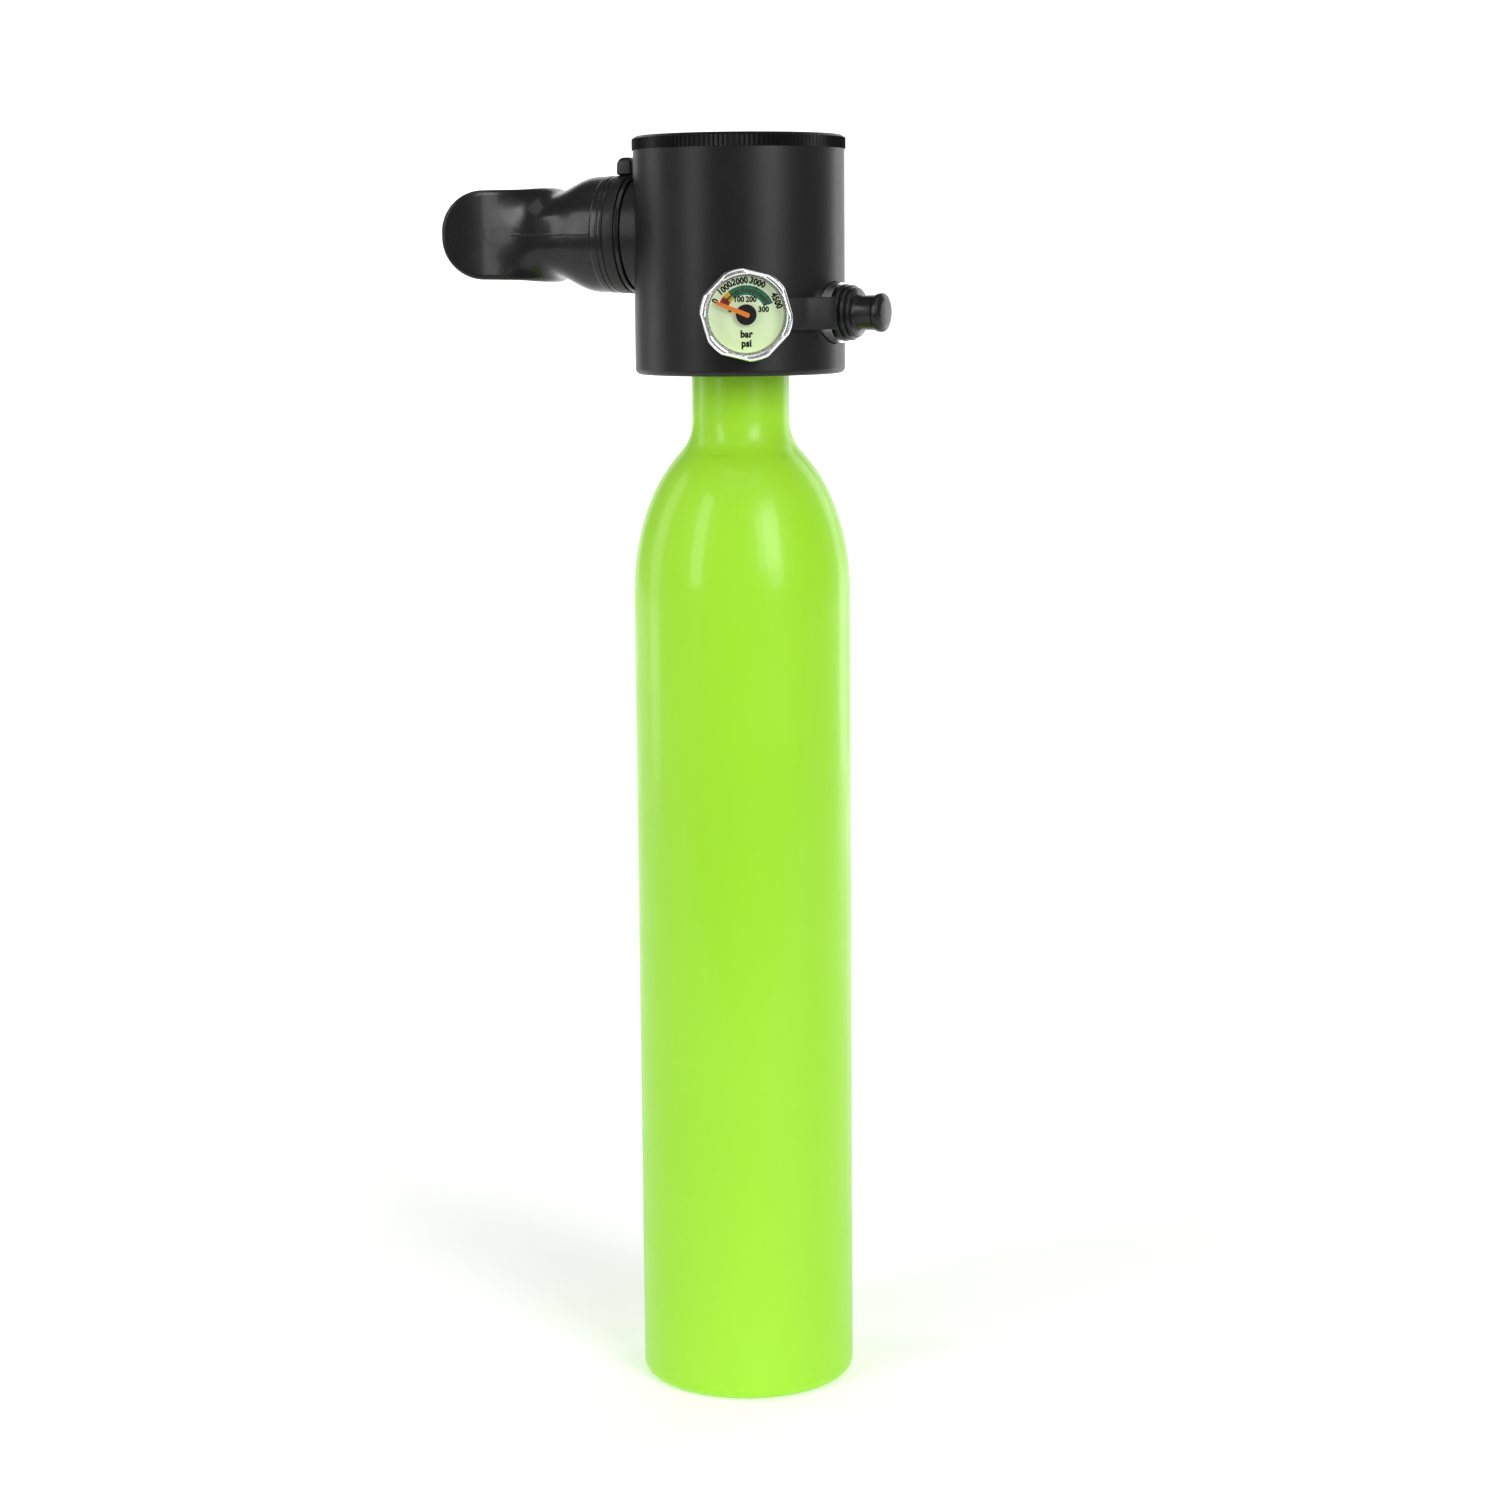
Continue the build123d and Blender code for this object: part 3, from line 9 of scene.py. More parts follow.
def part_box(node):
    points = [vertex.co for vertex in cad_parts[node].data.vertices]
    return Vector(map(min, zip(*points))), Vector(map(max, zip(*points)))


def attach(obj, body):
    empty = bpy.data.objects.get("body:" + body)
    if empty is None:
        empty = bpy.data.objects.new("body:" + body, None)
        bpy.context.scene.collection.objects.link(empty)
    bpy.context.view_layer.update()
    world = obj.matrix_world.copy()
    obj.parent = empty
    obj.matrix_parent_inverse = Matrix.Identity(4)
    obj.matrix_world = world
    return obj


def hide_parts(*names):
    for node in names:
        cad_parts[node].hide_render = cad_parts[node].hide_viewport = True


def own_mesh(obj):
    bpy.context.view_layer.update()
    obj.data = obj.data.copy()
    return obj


# A half-litre hand-held dive cylinder with its breathing head, on a white floor.
# Blender works in metres; the sizes below are millimetres unless a name says otherwise.

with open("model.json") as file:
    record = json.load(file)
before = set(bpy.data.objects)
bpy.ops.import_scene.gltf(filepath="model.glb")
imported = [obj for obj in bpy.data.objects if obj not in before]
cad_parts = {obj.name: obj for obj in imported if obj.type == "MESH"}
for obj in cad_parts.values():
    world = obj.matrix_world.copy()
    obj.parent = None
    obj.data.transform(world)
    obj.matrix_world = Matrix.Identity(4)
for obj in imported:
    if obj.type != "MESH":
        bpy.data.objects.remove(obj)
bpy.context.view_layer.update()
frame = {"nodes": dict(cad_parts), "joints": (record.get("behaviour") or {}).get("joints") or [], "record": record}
nodes = frame["nodes"]
joints = {joint["name"]: joint for joint in frame["joints"]}
MM = 0.001


# ---- Places read from the frame
def along(node, direction):
    """Lowest and highest reach of a node along a direction, in millimetres."""
    reaches = [vertex.co.dot(direction) / MM for vertex in nodes[node].data.vertices]
    return min(reaches), max(reaches)


UP = Vector((0, 0, 1))
gauge_out = -Vector(joints["needle_turn"]["axis"])
gauge_side = UP.cross(gauge_out)
fill_out = Vector(joints["dust_cap_pull"]["axis"])
fill_side = UP.cross(fill_out)
outlet_out = Vector((-1, 0, 0))
port_level = joints["needle_turn"]["pos_m"][2] / MM
tie_drop = 16.2  # from the mouthpiece's middle down to the tie's lowest point
housing_step = 1.3  # how far the bottle's side stands out past the head's
outlet_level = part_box("mouthpiece_tie")[0].z / MM + tie_drop
housing_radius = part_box("cylinder")[1].x / MM - housing_step
tie_middle = -sum(corner.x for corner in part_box("mouthpiece_tie")) / 2 / MM
groove_half = 1.7
collar_outside = 15.95
collar_groove = 15.1


# ---- Mesh helpers
def mesh_piece(name, points, faces, material, body="tank", slot=None, sharp=None):
    """A piece from points in millimetres, smooth apart from edges over the sharp angle."""
    mesh = bpy.data.meshes.new(name)
    mesh.from_pydata([Vector(point) * MM for point in points], [], faces)
    mesh.validate()
    mesh.shade_smooth()
    if sharp is not None:
        mesh.set_sharp_from_angle(angle=math.radians(sharp))
    mesh.materials.append(material)
    piece = bpy.data.objects.new(name, mesh)
    bpy.context.scene.collection.objects.link(piece)
    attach(piece, body)
    return piece


def rounded(corners, radius, steps=4, closed=False):
    """A profile with its corners rounded. A corner may carry its own radius as a third number."""
    done = []
    count = len(corners)
    for index, corner in enumerate(corners):
        here = Vector(corner[:2])
        size = corner[2] if len(corner) > 2 else radius
        at_end = not closed and index in (0, count - 1)
        before = Vector(corners[index - 1][:2]) - here
        after = Vector(corners[(index + 1) % count][:2]) - here
        if at_end or size <= 0 or before.length < 1e-6 or after.length < 1e-6:
            done.append(tuple(here))
            continue
        half = before.angle(after) / 2
        if half > math.radians(88):
            done.append(tuple(here))
            continue
        reach = min(size / math.tan(half), before.length * 0.49, after.length * 0.49)
        start = here + before.normalized() * reach
        end = here + after.normalized() * reach
        for step in range(steps + 1):
            part = step / steps
            done.append(tuple(start * (1 - part) ** 2 + here * 2 * part * (1 - part) + end * part ** 2))
    return done


def box_outline(half_wide, half_tall, radius, steps=4):
    """A rectangle about the origin with rounded corners."""
    corners = [(-half_wide, -half_tall), (half_wide, -half_tall),
               (half_wide, half_tall), (-half_wide, half_tall)]
    return rounded(corners, radius, steps=steps, closed=True)


def skin(rows, count, closed=False):
    """Faces between rows of points, each row a closed loop of count points; an open run gets its ends."""
    faces = []
    for row in range(rows if closed else rows - 1):
        here, ahead = row * count, (row + 1) % rows * count
        for corner in range(count):
            after = (corner + 1) % count
            faces.append((here + corner, here + after, ahead + after, ahead + corner))
    if not closed:
        faces.append(tuple(range(count))[::-1])
        faces.append(tuple(range((rows - 1) * count, rows * count)))
    return faces


def lathe(name, centre, axis, profile, material, segments=128, closed=False, sharp=40, **where):
    """A turned piece: the profile's points are (reach along the axis, radius), in millimetres."""
    axis = Vector(axis).normalized()
    side = axis.orthogonal().normalized()
    other = axis.cross(side)
    points, rings = [], []
    for reach, radius in profile:
        if radius < 1e-6:
            rings.append([len(points)])
            points.append(Vector(centre) + axis * reach)
            continue
        rings.append(list(range(len(points), len(points) + segments)))
        for step in range(segments):
            turn = 2 * math.pi * step / segments
            spoke = side * math.cos(turn) + other * math.sin(turn)
            points.append(Vector(centre) + axis * reach + spoke * radius)
    pairs = list(zip(rings, rings[1:]))
    if closed:
        pairs.append((rings[-1], rings[0]))
    faces = []
    for low, high in pairs:
        for step in range(segments):
            nxt = (step + 1) % segments
            if len(low) == 1 and len(high) == 1:
                continue
            if len(low) == 1:
                faces.append((low[0], high[step], high[nxt]))
            elif len(high) == 1:
                faces.append((low[step], high[0], low[nxt]))
            else:
                faces.append((low[step], high[step], high[nxt], low[nxt]))
    return mesh_piece(name, points, faces, material, sharp=sharp, **where)


# ---- Materials: each is a shader with noise for its grain, colour change and finish
class Finish:
    """A material whose Principled shader takes plain values, with noise mixed in where asked."""

    def __init__(self, name, **values):
        self.material = bpy.data.materials.new(name)
        self.material.use_nodes = True
        self.tree = self.material.node_tree
        self.shader = self.tree.nodes["Principled BSDF"]
        for key, value in values.items():
            self.shader.inputs[key.replace("_", " ")].default_value = value
        self.place = self.tree.nodes.new("ShaderNodeTexCoord").outputs["Object"]

    def noise(self, per_metre, detail=3.0, stretch=None):
        """Noise in the object's own metres; stretch scales it along X, Y and Z."""
        grain = self.tree.nodes.new("ShaderNodeTexNoise")
        grain.inputs["Scale"].default_value = per_metre
        grain.inputs["Detail"].default_value = detail
        place = self.place
        if stretch:
            mapping = self.tree.nodes.new("ShaderNodeMapping")
            mapping.inputs["Scale"].default_value = stretch
            self.tree.links.new(place, mapping.inputs["Vector"])
            place = mapping.outputs["Vector"]
        self.tree.links.new(place, grain.inputs["Vector"])
        return grain.outputs["Fac"]

    def spread(self, value, low, high, start=0.3, end=0.7):
        """A factor spread over a range of numbers."""
        ranged = self.tree.nodes.new("ShaderNodeMapRange")
        ranged.inputs["From Min"].default_value = start
        ranged.inputs["From Max"].default_value = end
        ranged.inputs["To Min"].default_value = low
        ranged.inputs["To Max"].default_value = high
        self.tree.links.new(value, ranged.inputs["Value"])
        return ranged.outputs["Result"]

    def blend(self, factor, first, second):
        """A colour between two, by a factor."""
        mix = self.tree.nodes.new("ShaderNodeMix")
        mix.data_type = "RGBA"
        self.tree.links.new(factor, mix.inputs["Factor"])
        for socket, colour in ((mix.inputs[6], first), (mix.inputs[7], second)):
            if isinstance(colour, tuple):
                socket.default_value = (*colour, 1.0)
            else:
                self.tree.links.new(colour, socket)
        return mix.outputs[2]

    def colour(self, source):
        self.tree.links.new(source, self.shader.inputs["Base Color"])

    def roughness(self, source):
        self.tree.links.new(source, self.shader.inputs["Roughness"])

    def bump(self, *layers):
        """Raises the surface by noise: each layer is (height source, depth in metres)."""
        normal = None
        for height, depth in layers:
            bump = self.tree.nodes.new("ShaderNodeBump")
            bump.inputs["Strength"].default_value = 1.0
            bump.inputs["Distance"].default_value = depth
            self.tree.links.new(height, bump.inputs["Height"])
            if normal:
                self.tree.links.new(normal, bump.inputs["Normal"])
            normal = bump.outputs["Normal"]
        self.tree.links.new(normal, self.shader.inputs["Normal"])


def grained(name, first, second, rough=(0.3, 0.4), grain=1500, depth=0.00001, patch=25, **values):
    """A finish with a fine grain in its surface and slow changes of colour and roughness."""
    finish = Finish(name, **values)
    slow = finish.spread(finish.noise(patch), 0, 1)
    finish.colour(finish.blend(slow, first, second))
    finish.roughness(finish.spread(finish.noise(patch * 9), *rough))
    finish.bump((finish.noise(grain), depth))
    return finish.material


def green_coat():
    finish = Finish("green_coat", Coat_Weight=0.25, Coat_Roughness=0.10, Specular_IOR_Level=0.25)
    slow = finish.spread(finish.noise(9, detail=2), 0, 1)
    finish.colour(finish.blend(slow, (0.355, 0.76, 0.026), (0.385, 0.81, 0.034)))
    finish.roughness(finish.spread(finish.noise(60), 0.34, 0.44))
    finish.bump((finish.noise(420, detail=1), 0.00004), (finish.noise(2600, detail=2), 0.000006))
    return finish.material


looks = {
    "green_coat": green_coat(),
    "black_anodised": grained("black_anodised", (0.009, 0.009, 0.0095), (0.013, 0.013, 0.0135),
                              rough=(0.36, 0.40), grain=5200, depth=0.000008, Specular_IOR_Level=0.3),
    "black_knurl": grained("black_knurl", (0.003, 0.003, 0.003), (0.005, 0.005, 0.005),
                           rough=(0.30, 0.42), grain=4200, depth=0.00001, Specular_IOR_Level=0.16),
    "black_nylon": grained("black_nylon", (0.007, 0.007, 0.007), (0.011, 0.011, 0.011),
                           rough=(0.34, 0.5), grain=3200, depth=0.000015, Specular_IOR_Level=0.3),
    "mouth_rubber": grained("mouth_rubber", (0.010, 0.010, 0.0105), (0.015, 0.015, 0.0155),
                            rough=(0.22, 0.3), grain=1700, depth=0.000003, Specular_IOR_Level=0.25,
                            Coat_Weight=0.12, Coat_Roughness=0.08),
    "black_rubber": grained("black_rubber", (0.010, 0.010, 0.011), (0.016, 0.016, 0.017),
                            rough=(0.22, 0.32), grain=2100, depth=0.000003, Specular_IOR_Level=0.25,
                            Coat_Weight=0.12, Coat_Roughness=0.1),
    "tether_rubber": grained("tether_rubber", (0.012, 0.012, 0.0125), (0.018, 0.018, 0.0185),
                             rough=(0.42, 0.56), grain=2600, depth=0.00002, Specular_IOR_Level=0.25),
    "seal_rubber": grained("seal_rubber", (0.012, 0.012, 0.012), (0.02, 0.02, 0.02), rough=(0.5, 0.65)),
    "clear_silicone": grained("clear_silicone", (0.62, 0.62, 0.60), (0.72, 0.72, 0.70), rough=(0.3, 0.45),
                              Subsurface_Weight=0.3),
    "white_polymer": grained("white_polymer", (0.80, 0.80, 0.77), (0.88, 0.88, 0.86), rough=(0.3, 0.4)),
    "plated_brass": grained("plated_brass", (0.62, 0.60, 0.56), (0.70, 0.68, 0.64), rough=(0.18, 0.3),
                            Metallic=1.0, grain=3000, depth=0.000006),
    "sintered_bronze": grained("sintered_bronze", (0.42, 0.25, 0.10), (0.60, 0.38, 0.17), rough=(0.5, 0.7),
                               grain=6000, depth=0.00005, patch=900, Metallic=1.0),
    "spring_steel": grained("spring_steel", (0.50, 0.50, 0.52), (0.62, 0.62, 0.64), rough=(0.2, 0.32),
                            Metallic=1.0),
    "stainless": grained("stainless", (0.56, 0.56, 0.57), (0.66, 0.66, 0.67), rough=(0.22, 0.36),
                         Metallic=1.0, grain=2500, depth=0.000008),
    "polished_chrome": grained("polished_chrome", (0.86, 0.87, 0.88), (0.93, 0.93, 0.94), rough=(0.24, 0.32),
                               Metallic=1.0, grain=2500, depth=0.0000008, patch=120),
    "black_nickel": grained("black_nickel", (0.70, 0.70, 0.71), (0.80, 0.80, 0.81), rough=(0.22, 0.30),
                            Metallic=1.0, grain=2500, depth=0.000001),
    "orange_needle": grained("orange_needle", (0.90, 0.22, 0.02), (0.95, 0.28, 0.035), rough=(0.35, 0.45)),
    "print_black": grained("print_black", (0.004, 0.004, 0.004), (0.007, 0.007, 0.007), rough=(0.6, 0.7),
                           Specular_IOR_Level=0.1),
    "print_red": grained("print_red", (0.42, 0.03, 0.02), (0.50, 0.045, 0.03), rough=(0.5, 0.6),
                         Specular_IOR_Level=0.15),
    "print_yellow": grained("print_yellow", (0.75, 0.50, 0.04), (0.82, 0.58, 0.06), rough=(0.5, 0.6),
                            Specular_IOR_Level=0.15),
    "print_green": grained("print_green", (0.015, 0.16, 0.075), (0.025, 0.20, 0.10), rough=(0.5, 0.6)),
}


def pale_dial():
    # painted glow: the dial gives off a faint pale green light of its own, though it is no lamp
    finish = Finish("pale_dial", Specular_IOR_Level=0.3, Emission_Color=(0.74, 0.94, 0.55, 1),
                    Emission_Strength=0.2)
    # painted shade: the dial's colour turns greyer and darker from its bottom to its top
    height = finish.tree.nodes.new("ShaderNodeSeparateXYZ")
    finish.tree.links.new(finish.place, height.inputs[0])
    low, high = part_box("gauge_dial")
    rise = finish.spread(height.outputs["Z"], 0, 1, low.z, high.z)
    finish.colour(finish.blend(rise, (0.76, 0.95, 0.50), (0.66, 0.74, 0.58)))
    finish.roughness(finish.spread(finish.noise(700), 0.45, 0.6))
    finish.bump((finish.noise(5000), 0.000008))
    return finish.material


def clear_lens():
    finish = Finish("clear_lens", Alpha=0.07, Base_Color=(0.02, 0.02, 0.02, 1), Specular_IOR_Level=0.5)
    finish.roughness(finish.spread(finish.noise(120), 0.02, 0.05))
    finish.bump((finish.noise(90), 0.00001))
    return finish.material


looks["pale_dial"] = pale_dial()
looks["clear_lens"] = clear_lens()
for row in frame["record"]["subparts"]:
    nodes[row["node"]].data.materials.clear()
    nodes[row["node"]].data.materials.append(looks[row["material_slot"]])


# ---- Camera, lights and floor
camera_bearing = math.radians(20)
camera_distance = 0.832
camera_height = 0.3127
camera_pitch = math.radians(9.1)
camera_roll = math.radians(0.48)
camera_yaw = math.radians(0.12)  # turned a little to the right, so the tank stands left of the middle
photo_pixels = 1500
focal_pixels = 3013

camera = bpy.data.cameras.new("camera")
camera.sensor_width = 36
camera.lens = focal_pixels / photo_pixels * camera.sensor_width
camera.clip_start = 0.01
eye = bpy.data.objects.new("camera", camera)
eye.location = (
    camera_distance * math.sin(camera_bearing),
    -camera_distance * math.cos(camera_bearing),
    camera_height,
)
heading = Matrix.Rotation(camera_bearing - camera_yaw, 4, "Z")
tilt = Matrix.Rotation(math.pi / 2 - camera_pitch, 4, "X")
eye.rotation_euler = (heading @ tilt @ Matrix.Rotation(-camera_roll, 4, "Z")).to_euler()
bpy.context.scene.collection.objects.link(eye)
bpy.context.scene.camera = eye


def softbox(name, bearing, distance, height, width, tall, power, aim=0.19):
    """A tall rectangular light; its bearing is measured from the camera's, to the right."""
    light = bpy.data.lights.new(name, "AREA")
    light.shape = "RECTANGLE"
    light.size = width
    light.size_y = tall
    light.energy = power
    lamp = bpy.data.objects.new(name, light)
    turn = camera_bearing + math.radians(bearing)
    lamp.location = (distance * math.sin(turn), -distance * math.cos(turn), height)
    facing = Vector((0, 0, aim)) - lamp.location
    lamp.rotation_euler = facing.to_track_quat("-Z", "Y").to_euler()
    bpy.context.scene.collection.objects.link(lamp)


softbox("left_front_softbox", -50, 1.3, 0.75, 0.35, 1.1, 6.5, aim=0.27)
softbox("right_front_softbox", 36, 1.3, 0.75, 0.45, 1.1, 6.0, aim=0.27)
softbox("front_fill", 30, 1.7, 0.95, 0.8, 0.9, 10, aim=0.27)
softbox("left_side_softbox", -106, 1.0, 0.45, 0.3, 1.0, 2.4)
softbox("right_side_softbox", 132, 1.0, 0.45, 0.3, 1.0, 2.6)
softbox("top_softbox", 0, 0.35, 1.5, 1.0, 1.0, 4)

world = bpy.data.worlds.new("studio")
world.use_nodes = True
world.node_tree.nodes["Background"].inputs["Color"].default_value = (1, 1, 1, 1)
world.node_tree.nodes["Background"].inputs["Strength"].default_value = 0.14
bpy.context.scene.world = world
bpy.context.scene.view_settings.view_transform = "Standard"


def white_paper():
    """Matte white that glows more towards the back, so the backdrop stays as white as the floor."""
    finish = Finish("white_paper", Emission_Color=(1, 1, 1, 1))
    slow = finish.spread(finish.noise(2), 0, 1)
    finish.colour(finish.blend(slow, (0.88, 0.88, 0.88), (0.90, 0.90, 0.90)))
    finish.roughness(finish.spread(finish.noise(20), 0.7, 0.8))
    finish.bump((finish.noise(400), 0.00001))
    away = finish.tree.nodes.new("ShaderNodeVectorMath")
    away.operation = "DOT_PRODUCT"
    away.inputs[1].default_value = (-math.sin(camera_bearing), math.cos(camera_bearing), 0)
    finish.tree.links.new(finish.place, away.inputs[0])
    glow = finish.spread(away.outputs["Value"], 0.3, 1.0, 0.1, 0.9)
    finish.tree.links.new(glow, finish.shader.inputs["Emission Strength"])
    return finish.material


def floor():
    """A white sweep: flat under the object, and curved up far behind it."""
    half_width, front, back, rise, bend = 2.2, -0.45, 2.5, 3.0, 1.0
    steps = 24
    line = [(front, 0.0), (back, 0.0)]
    for step in range(1, steps + 1):
        turn = math.pi / 2 * step / steps
        line.append((back + bend * math.sin(turn), bend - bend * math.cos(turn)))
    line.append((back + bend, rise))
    away = Matrix.Rotation(camera_bearing, 3, "Z")
    points = [away @ Vector((side, y, z)) for y, z in line for side in (-half_width, half_width)]
    faces = [(2 * k, 2 * k + 1, 2 * k + 3, 2 * k + 2) for k in range(len(line) - 1)]
    mesh = bpy.data.meshes.new("floor")
    mesh.from_pydata(points, [], faces)
    mesh.shade_smooth()
    mesh.materials.append(white_paper())
    sweep = bpy.data.objects.new("floor", mesh)
    bpy.context.scene.collection.objects.link(sweep)


floor()


# ---- Mouthpiece: one moulded rubber shape, worked out as a field and meshed
rubber_start = 36.9  # the field takes over from the turned collar here
collar_bore = 13.35
guard_reach, guard_radius, guard_sheet = 54.0, 29.5, 2.1
guard_middle = guard_radius - guard_sheet / 2


def surface_net(axes, field):
    """Points and faces of the zero level of a field on a grid, one point in each crossed cell."""
    inside = field < 0
    shape = tuple(count - 1 for count in field.shape)
    total = np.zeros((*shape, 3))
    count = np.zeros(shape, int)
    crossings = []
    for axis in range(3):
        low, high = [slice(None)] * 3, [slice(None)] * 3
        low[axis], high[axis] = slice(0, -1), slice(1, None)
        at = np.argwhere(inside[tuple(low)] != inside[tuple(high)])
        ahead = at.copy()
        ahead[:, axis] += 1
        near, far = field[tuple(at.T)], field[tuple(ahead.T)]
        part = near / (near - far)
        points = np.stack([axes[k][at[:, k]] for k in range(3)], axis=1)
        points[:, axis] += part * (axes[axis][ahead[:, axis]] - axes[axis][at[:, axis]])
        second, third = (axis + 1) % 3, (axis + 2) % 3
        cells = []
        for step_two, step_three in ((0, 0), (-1, 0), (-1, -1), (0, -1)):
            cell = at.copy()
            cell[:, second] += step_two
            cell[:, third] += step_three
            cells.append(cell)
            np.add.at(total, tuple(cell.T), points)
            np.add.at(count, tuple(cell.T), 1)
        crossings.append((cells, near < 0))
    numbers = np.full(shape, -1)
    used = count > 0
    numbers[used] = np.arange(used.sum())
    faces = []
    for cells, outward in crossings:
        quad = np.stack([numbers[tuple(cell.T)] for cell in cells], axis=1)
        quad[~outward] = quad[~outward][:, ::-1]
        faces.append(quad)
    return total[used] / count[used][:, None], np.concatenate(faces)


def joined(first, second, blend):
    """The union of two fields with a fillet of about the blend's size."""
    mixed = np.clip(0.5 + 0.5 * (second - first) / blend, 0, 1)
    return second * (1 - mixed) + first * mixed - blend * mixed * (1 - mixed)


def carved(first, second, blend):
    """The first field less the second, with a rounded edge."""
    return -joined(-first, second, blend)


def slab(across, thick, rounding):
    """A field of an outline's field and a thickness's field, with rounded edges."""
    out = np.hypot(np.maximum(across + rounding, 0), np.maximum(thick + rounding, 0))
    return out + np.minimum(np.maximum(across, thick) + rounding, 0) - rounding


def block(offsets, halves, rounding):
    """A field of a box with rounded edges."""
    over = [np.abs(offset) - half + rounding for offset, half in zip(offsets, halves)]
    outside = np.sqrt(sum(np.maximum(side, 0) ** 2 for side in over))
    return outside + np.minimum(np.maximum(np.maximum(over[0], over[1]), over[2]), 0) - rounding


def eased(at, keys, values):
    """A line through the values, smoothed over a millimetre or so."""
    offsets = np.linspace(-1.5, 1.5, 7)
    return sum(np.interp(at + offset, keys, values) for offset in offsets) / len(offsets)


def mouthpiece_grid():
    """The grid's three axes; it is fine across the moulding line."""
    step, margin = 0.5, 1.0
    low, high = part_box("mouthpiece")
    xs = np.arange(low.x / MM - margin, margin - rubber_start, step)
    ys = np.arange(-high.y / MM - margin, high.y / MM + margin, step)
    fine = np.arange(-0.6, 0.61, 0.1)
    rough = np.arange(1.0, 18.0, step)
    return xs, ys, np.concatenate([-rough[::-1], fine, rough])


def tube_field(out, y, z):
    """The tube narrows upright from the round collar to a flat throat."""
    guard_overlap = 6
    keys = np.array([33, 40.5, 42.5, 44.5, 46.5, 48.5, 50.5, 52.5, 54.5, 64])
    tall = eased(out, keys, [15.8, 15.8, 15.6, 14.9, 13.8, 12.6, 11.7, 11.2, 11.0, 11.0])
    wide = eased(out, keys, [15.8, 15.8, 15.75, 15.6, 15.4, 15.3, 15.4, 15.6, 15.9, 16.8])
    flat = eased(out, keys, [2.0, 2.0, 2.02, 2.08, 2.18, 2.3, 2.4, 2.45, 2.5, 2.5])
    oval = (np.abs(y / wide) ** flat + np.abs(z / tall) ** flat) ** (1 / flat)
    tube = (oval - 1) * np.minimum(tall, wide)
    return np.maximum(tube, out - guard_reach - guard_overlap)


def guard_field(ring, turn, z):
    """The lip guard: a curved plate round an upright axis, with rounded ends."""
    tall, narrowing, end_turn, corner, edge = 12.4, 0.7, math.radians(75), 11.0, 0.9
    reach = np.abs(guard_middle * turn)
    end_reach = guard_middle * end_turn
    half_tall = tall - narrowing * np.clip(reach / end_reach, 0, 1) ** 2
    past_end, past_edge = reach - end_reach, np.abs(z) - half_tall
    dx = np.maximum(past_end + corner, 0)
    dz = np.maximum(past_edge + corner, 0)
    outline = np.hypot(dx, dz) - corner
    outline = np.where((dx <= 0) & (dz <= 0), np.maximum(past_end, past_edge), outline)
    return slab(outline, np.abs(ring - guard_middle) - guard_sheet / 2, edge)


def tab_field(out, aside, z, ring):
    """A bite tab behind the guard, with a ridge at its end."""
    tab_middle, ridge_middle, blend = 65.5, 72.4, 1.2
    tab = block((out - tab_middle, aside, z), (8.3, 5.0, 1.7), 1.2)
    ridge = block((out - ridge_middle, aside, z), (1.4, 5.0, 4.3), 1.1)
    return joined(np.maximum(tab, ring - guard_middle), ridge, blend)


def airway_field(out, y, z):
    """The way through, from round at the collar to a flat slot between the lips."""
    keys = [33, 38, 50, 64]
    tall = np.interp(out, keys, [11.2, 11.0, 7.2, 7.2])
    wide = np.interp(out, keys, [11.2, 11.2, 11.0, 11.2])
    return (np.hypot(y / wide, z / tall) - 1) * tall


def mouthpiece_field(x, y, z):
    """The whole rubber shape beyond the collar; out is the distance from the head's middle."""
    out = -x
    centre = -guard_reach - guard_radius
    ring = np.hypot(x - centre, y)
    turn = np.arctan2(y, x - centre)
    hollow = ring - (guard_radius - guard_sheet)
    tube = np.maximum(tube_field(out, y, z), -hollow)
    guard = guard_field(ring, turn, z)
    guard_fillet, tab_fillet, airway_edge = 4.5, 1.4, 1.2
    shape = joined(tube, guard, guard_fillet)
    faces_mouth = np.abs(turn) < 1.4
    shape = np.maximum(shape, -np.where(faces_mouth, hollow, 1))  # no fillet on the mouth side
    tab_aside = 17.0
    for side in (-1, 1):
        shape = joined(shape, tab_field(out, y - side * tab_aside, z, ring), tab_fillet)
    shape = carved(shape, airway_field(out, y, z), airway_edge)
    spigot_end = 36.6
    recess = np.maximum(np.hypot(y, z) - collar_bore, out - spigot_end)
    shape = np.maximum(np.maximum(shape, -recess), rubber_start - out)

    # a fine moulding line along the middle of the tube
    seam_rise, seam_half, seam_start = 0.11, 0.16, 38.2
    seam = seam_rise * np.exp(-((z / seam_half) ** 2)) * (out > seam_start) * (tube < guard + 0.4)
    return shape - seam


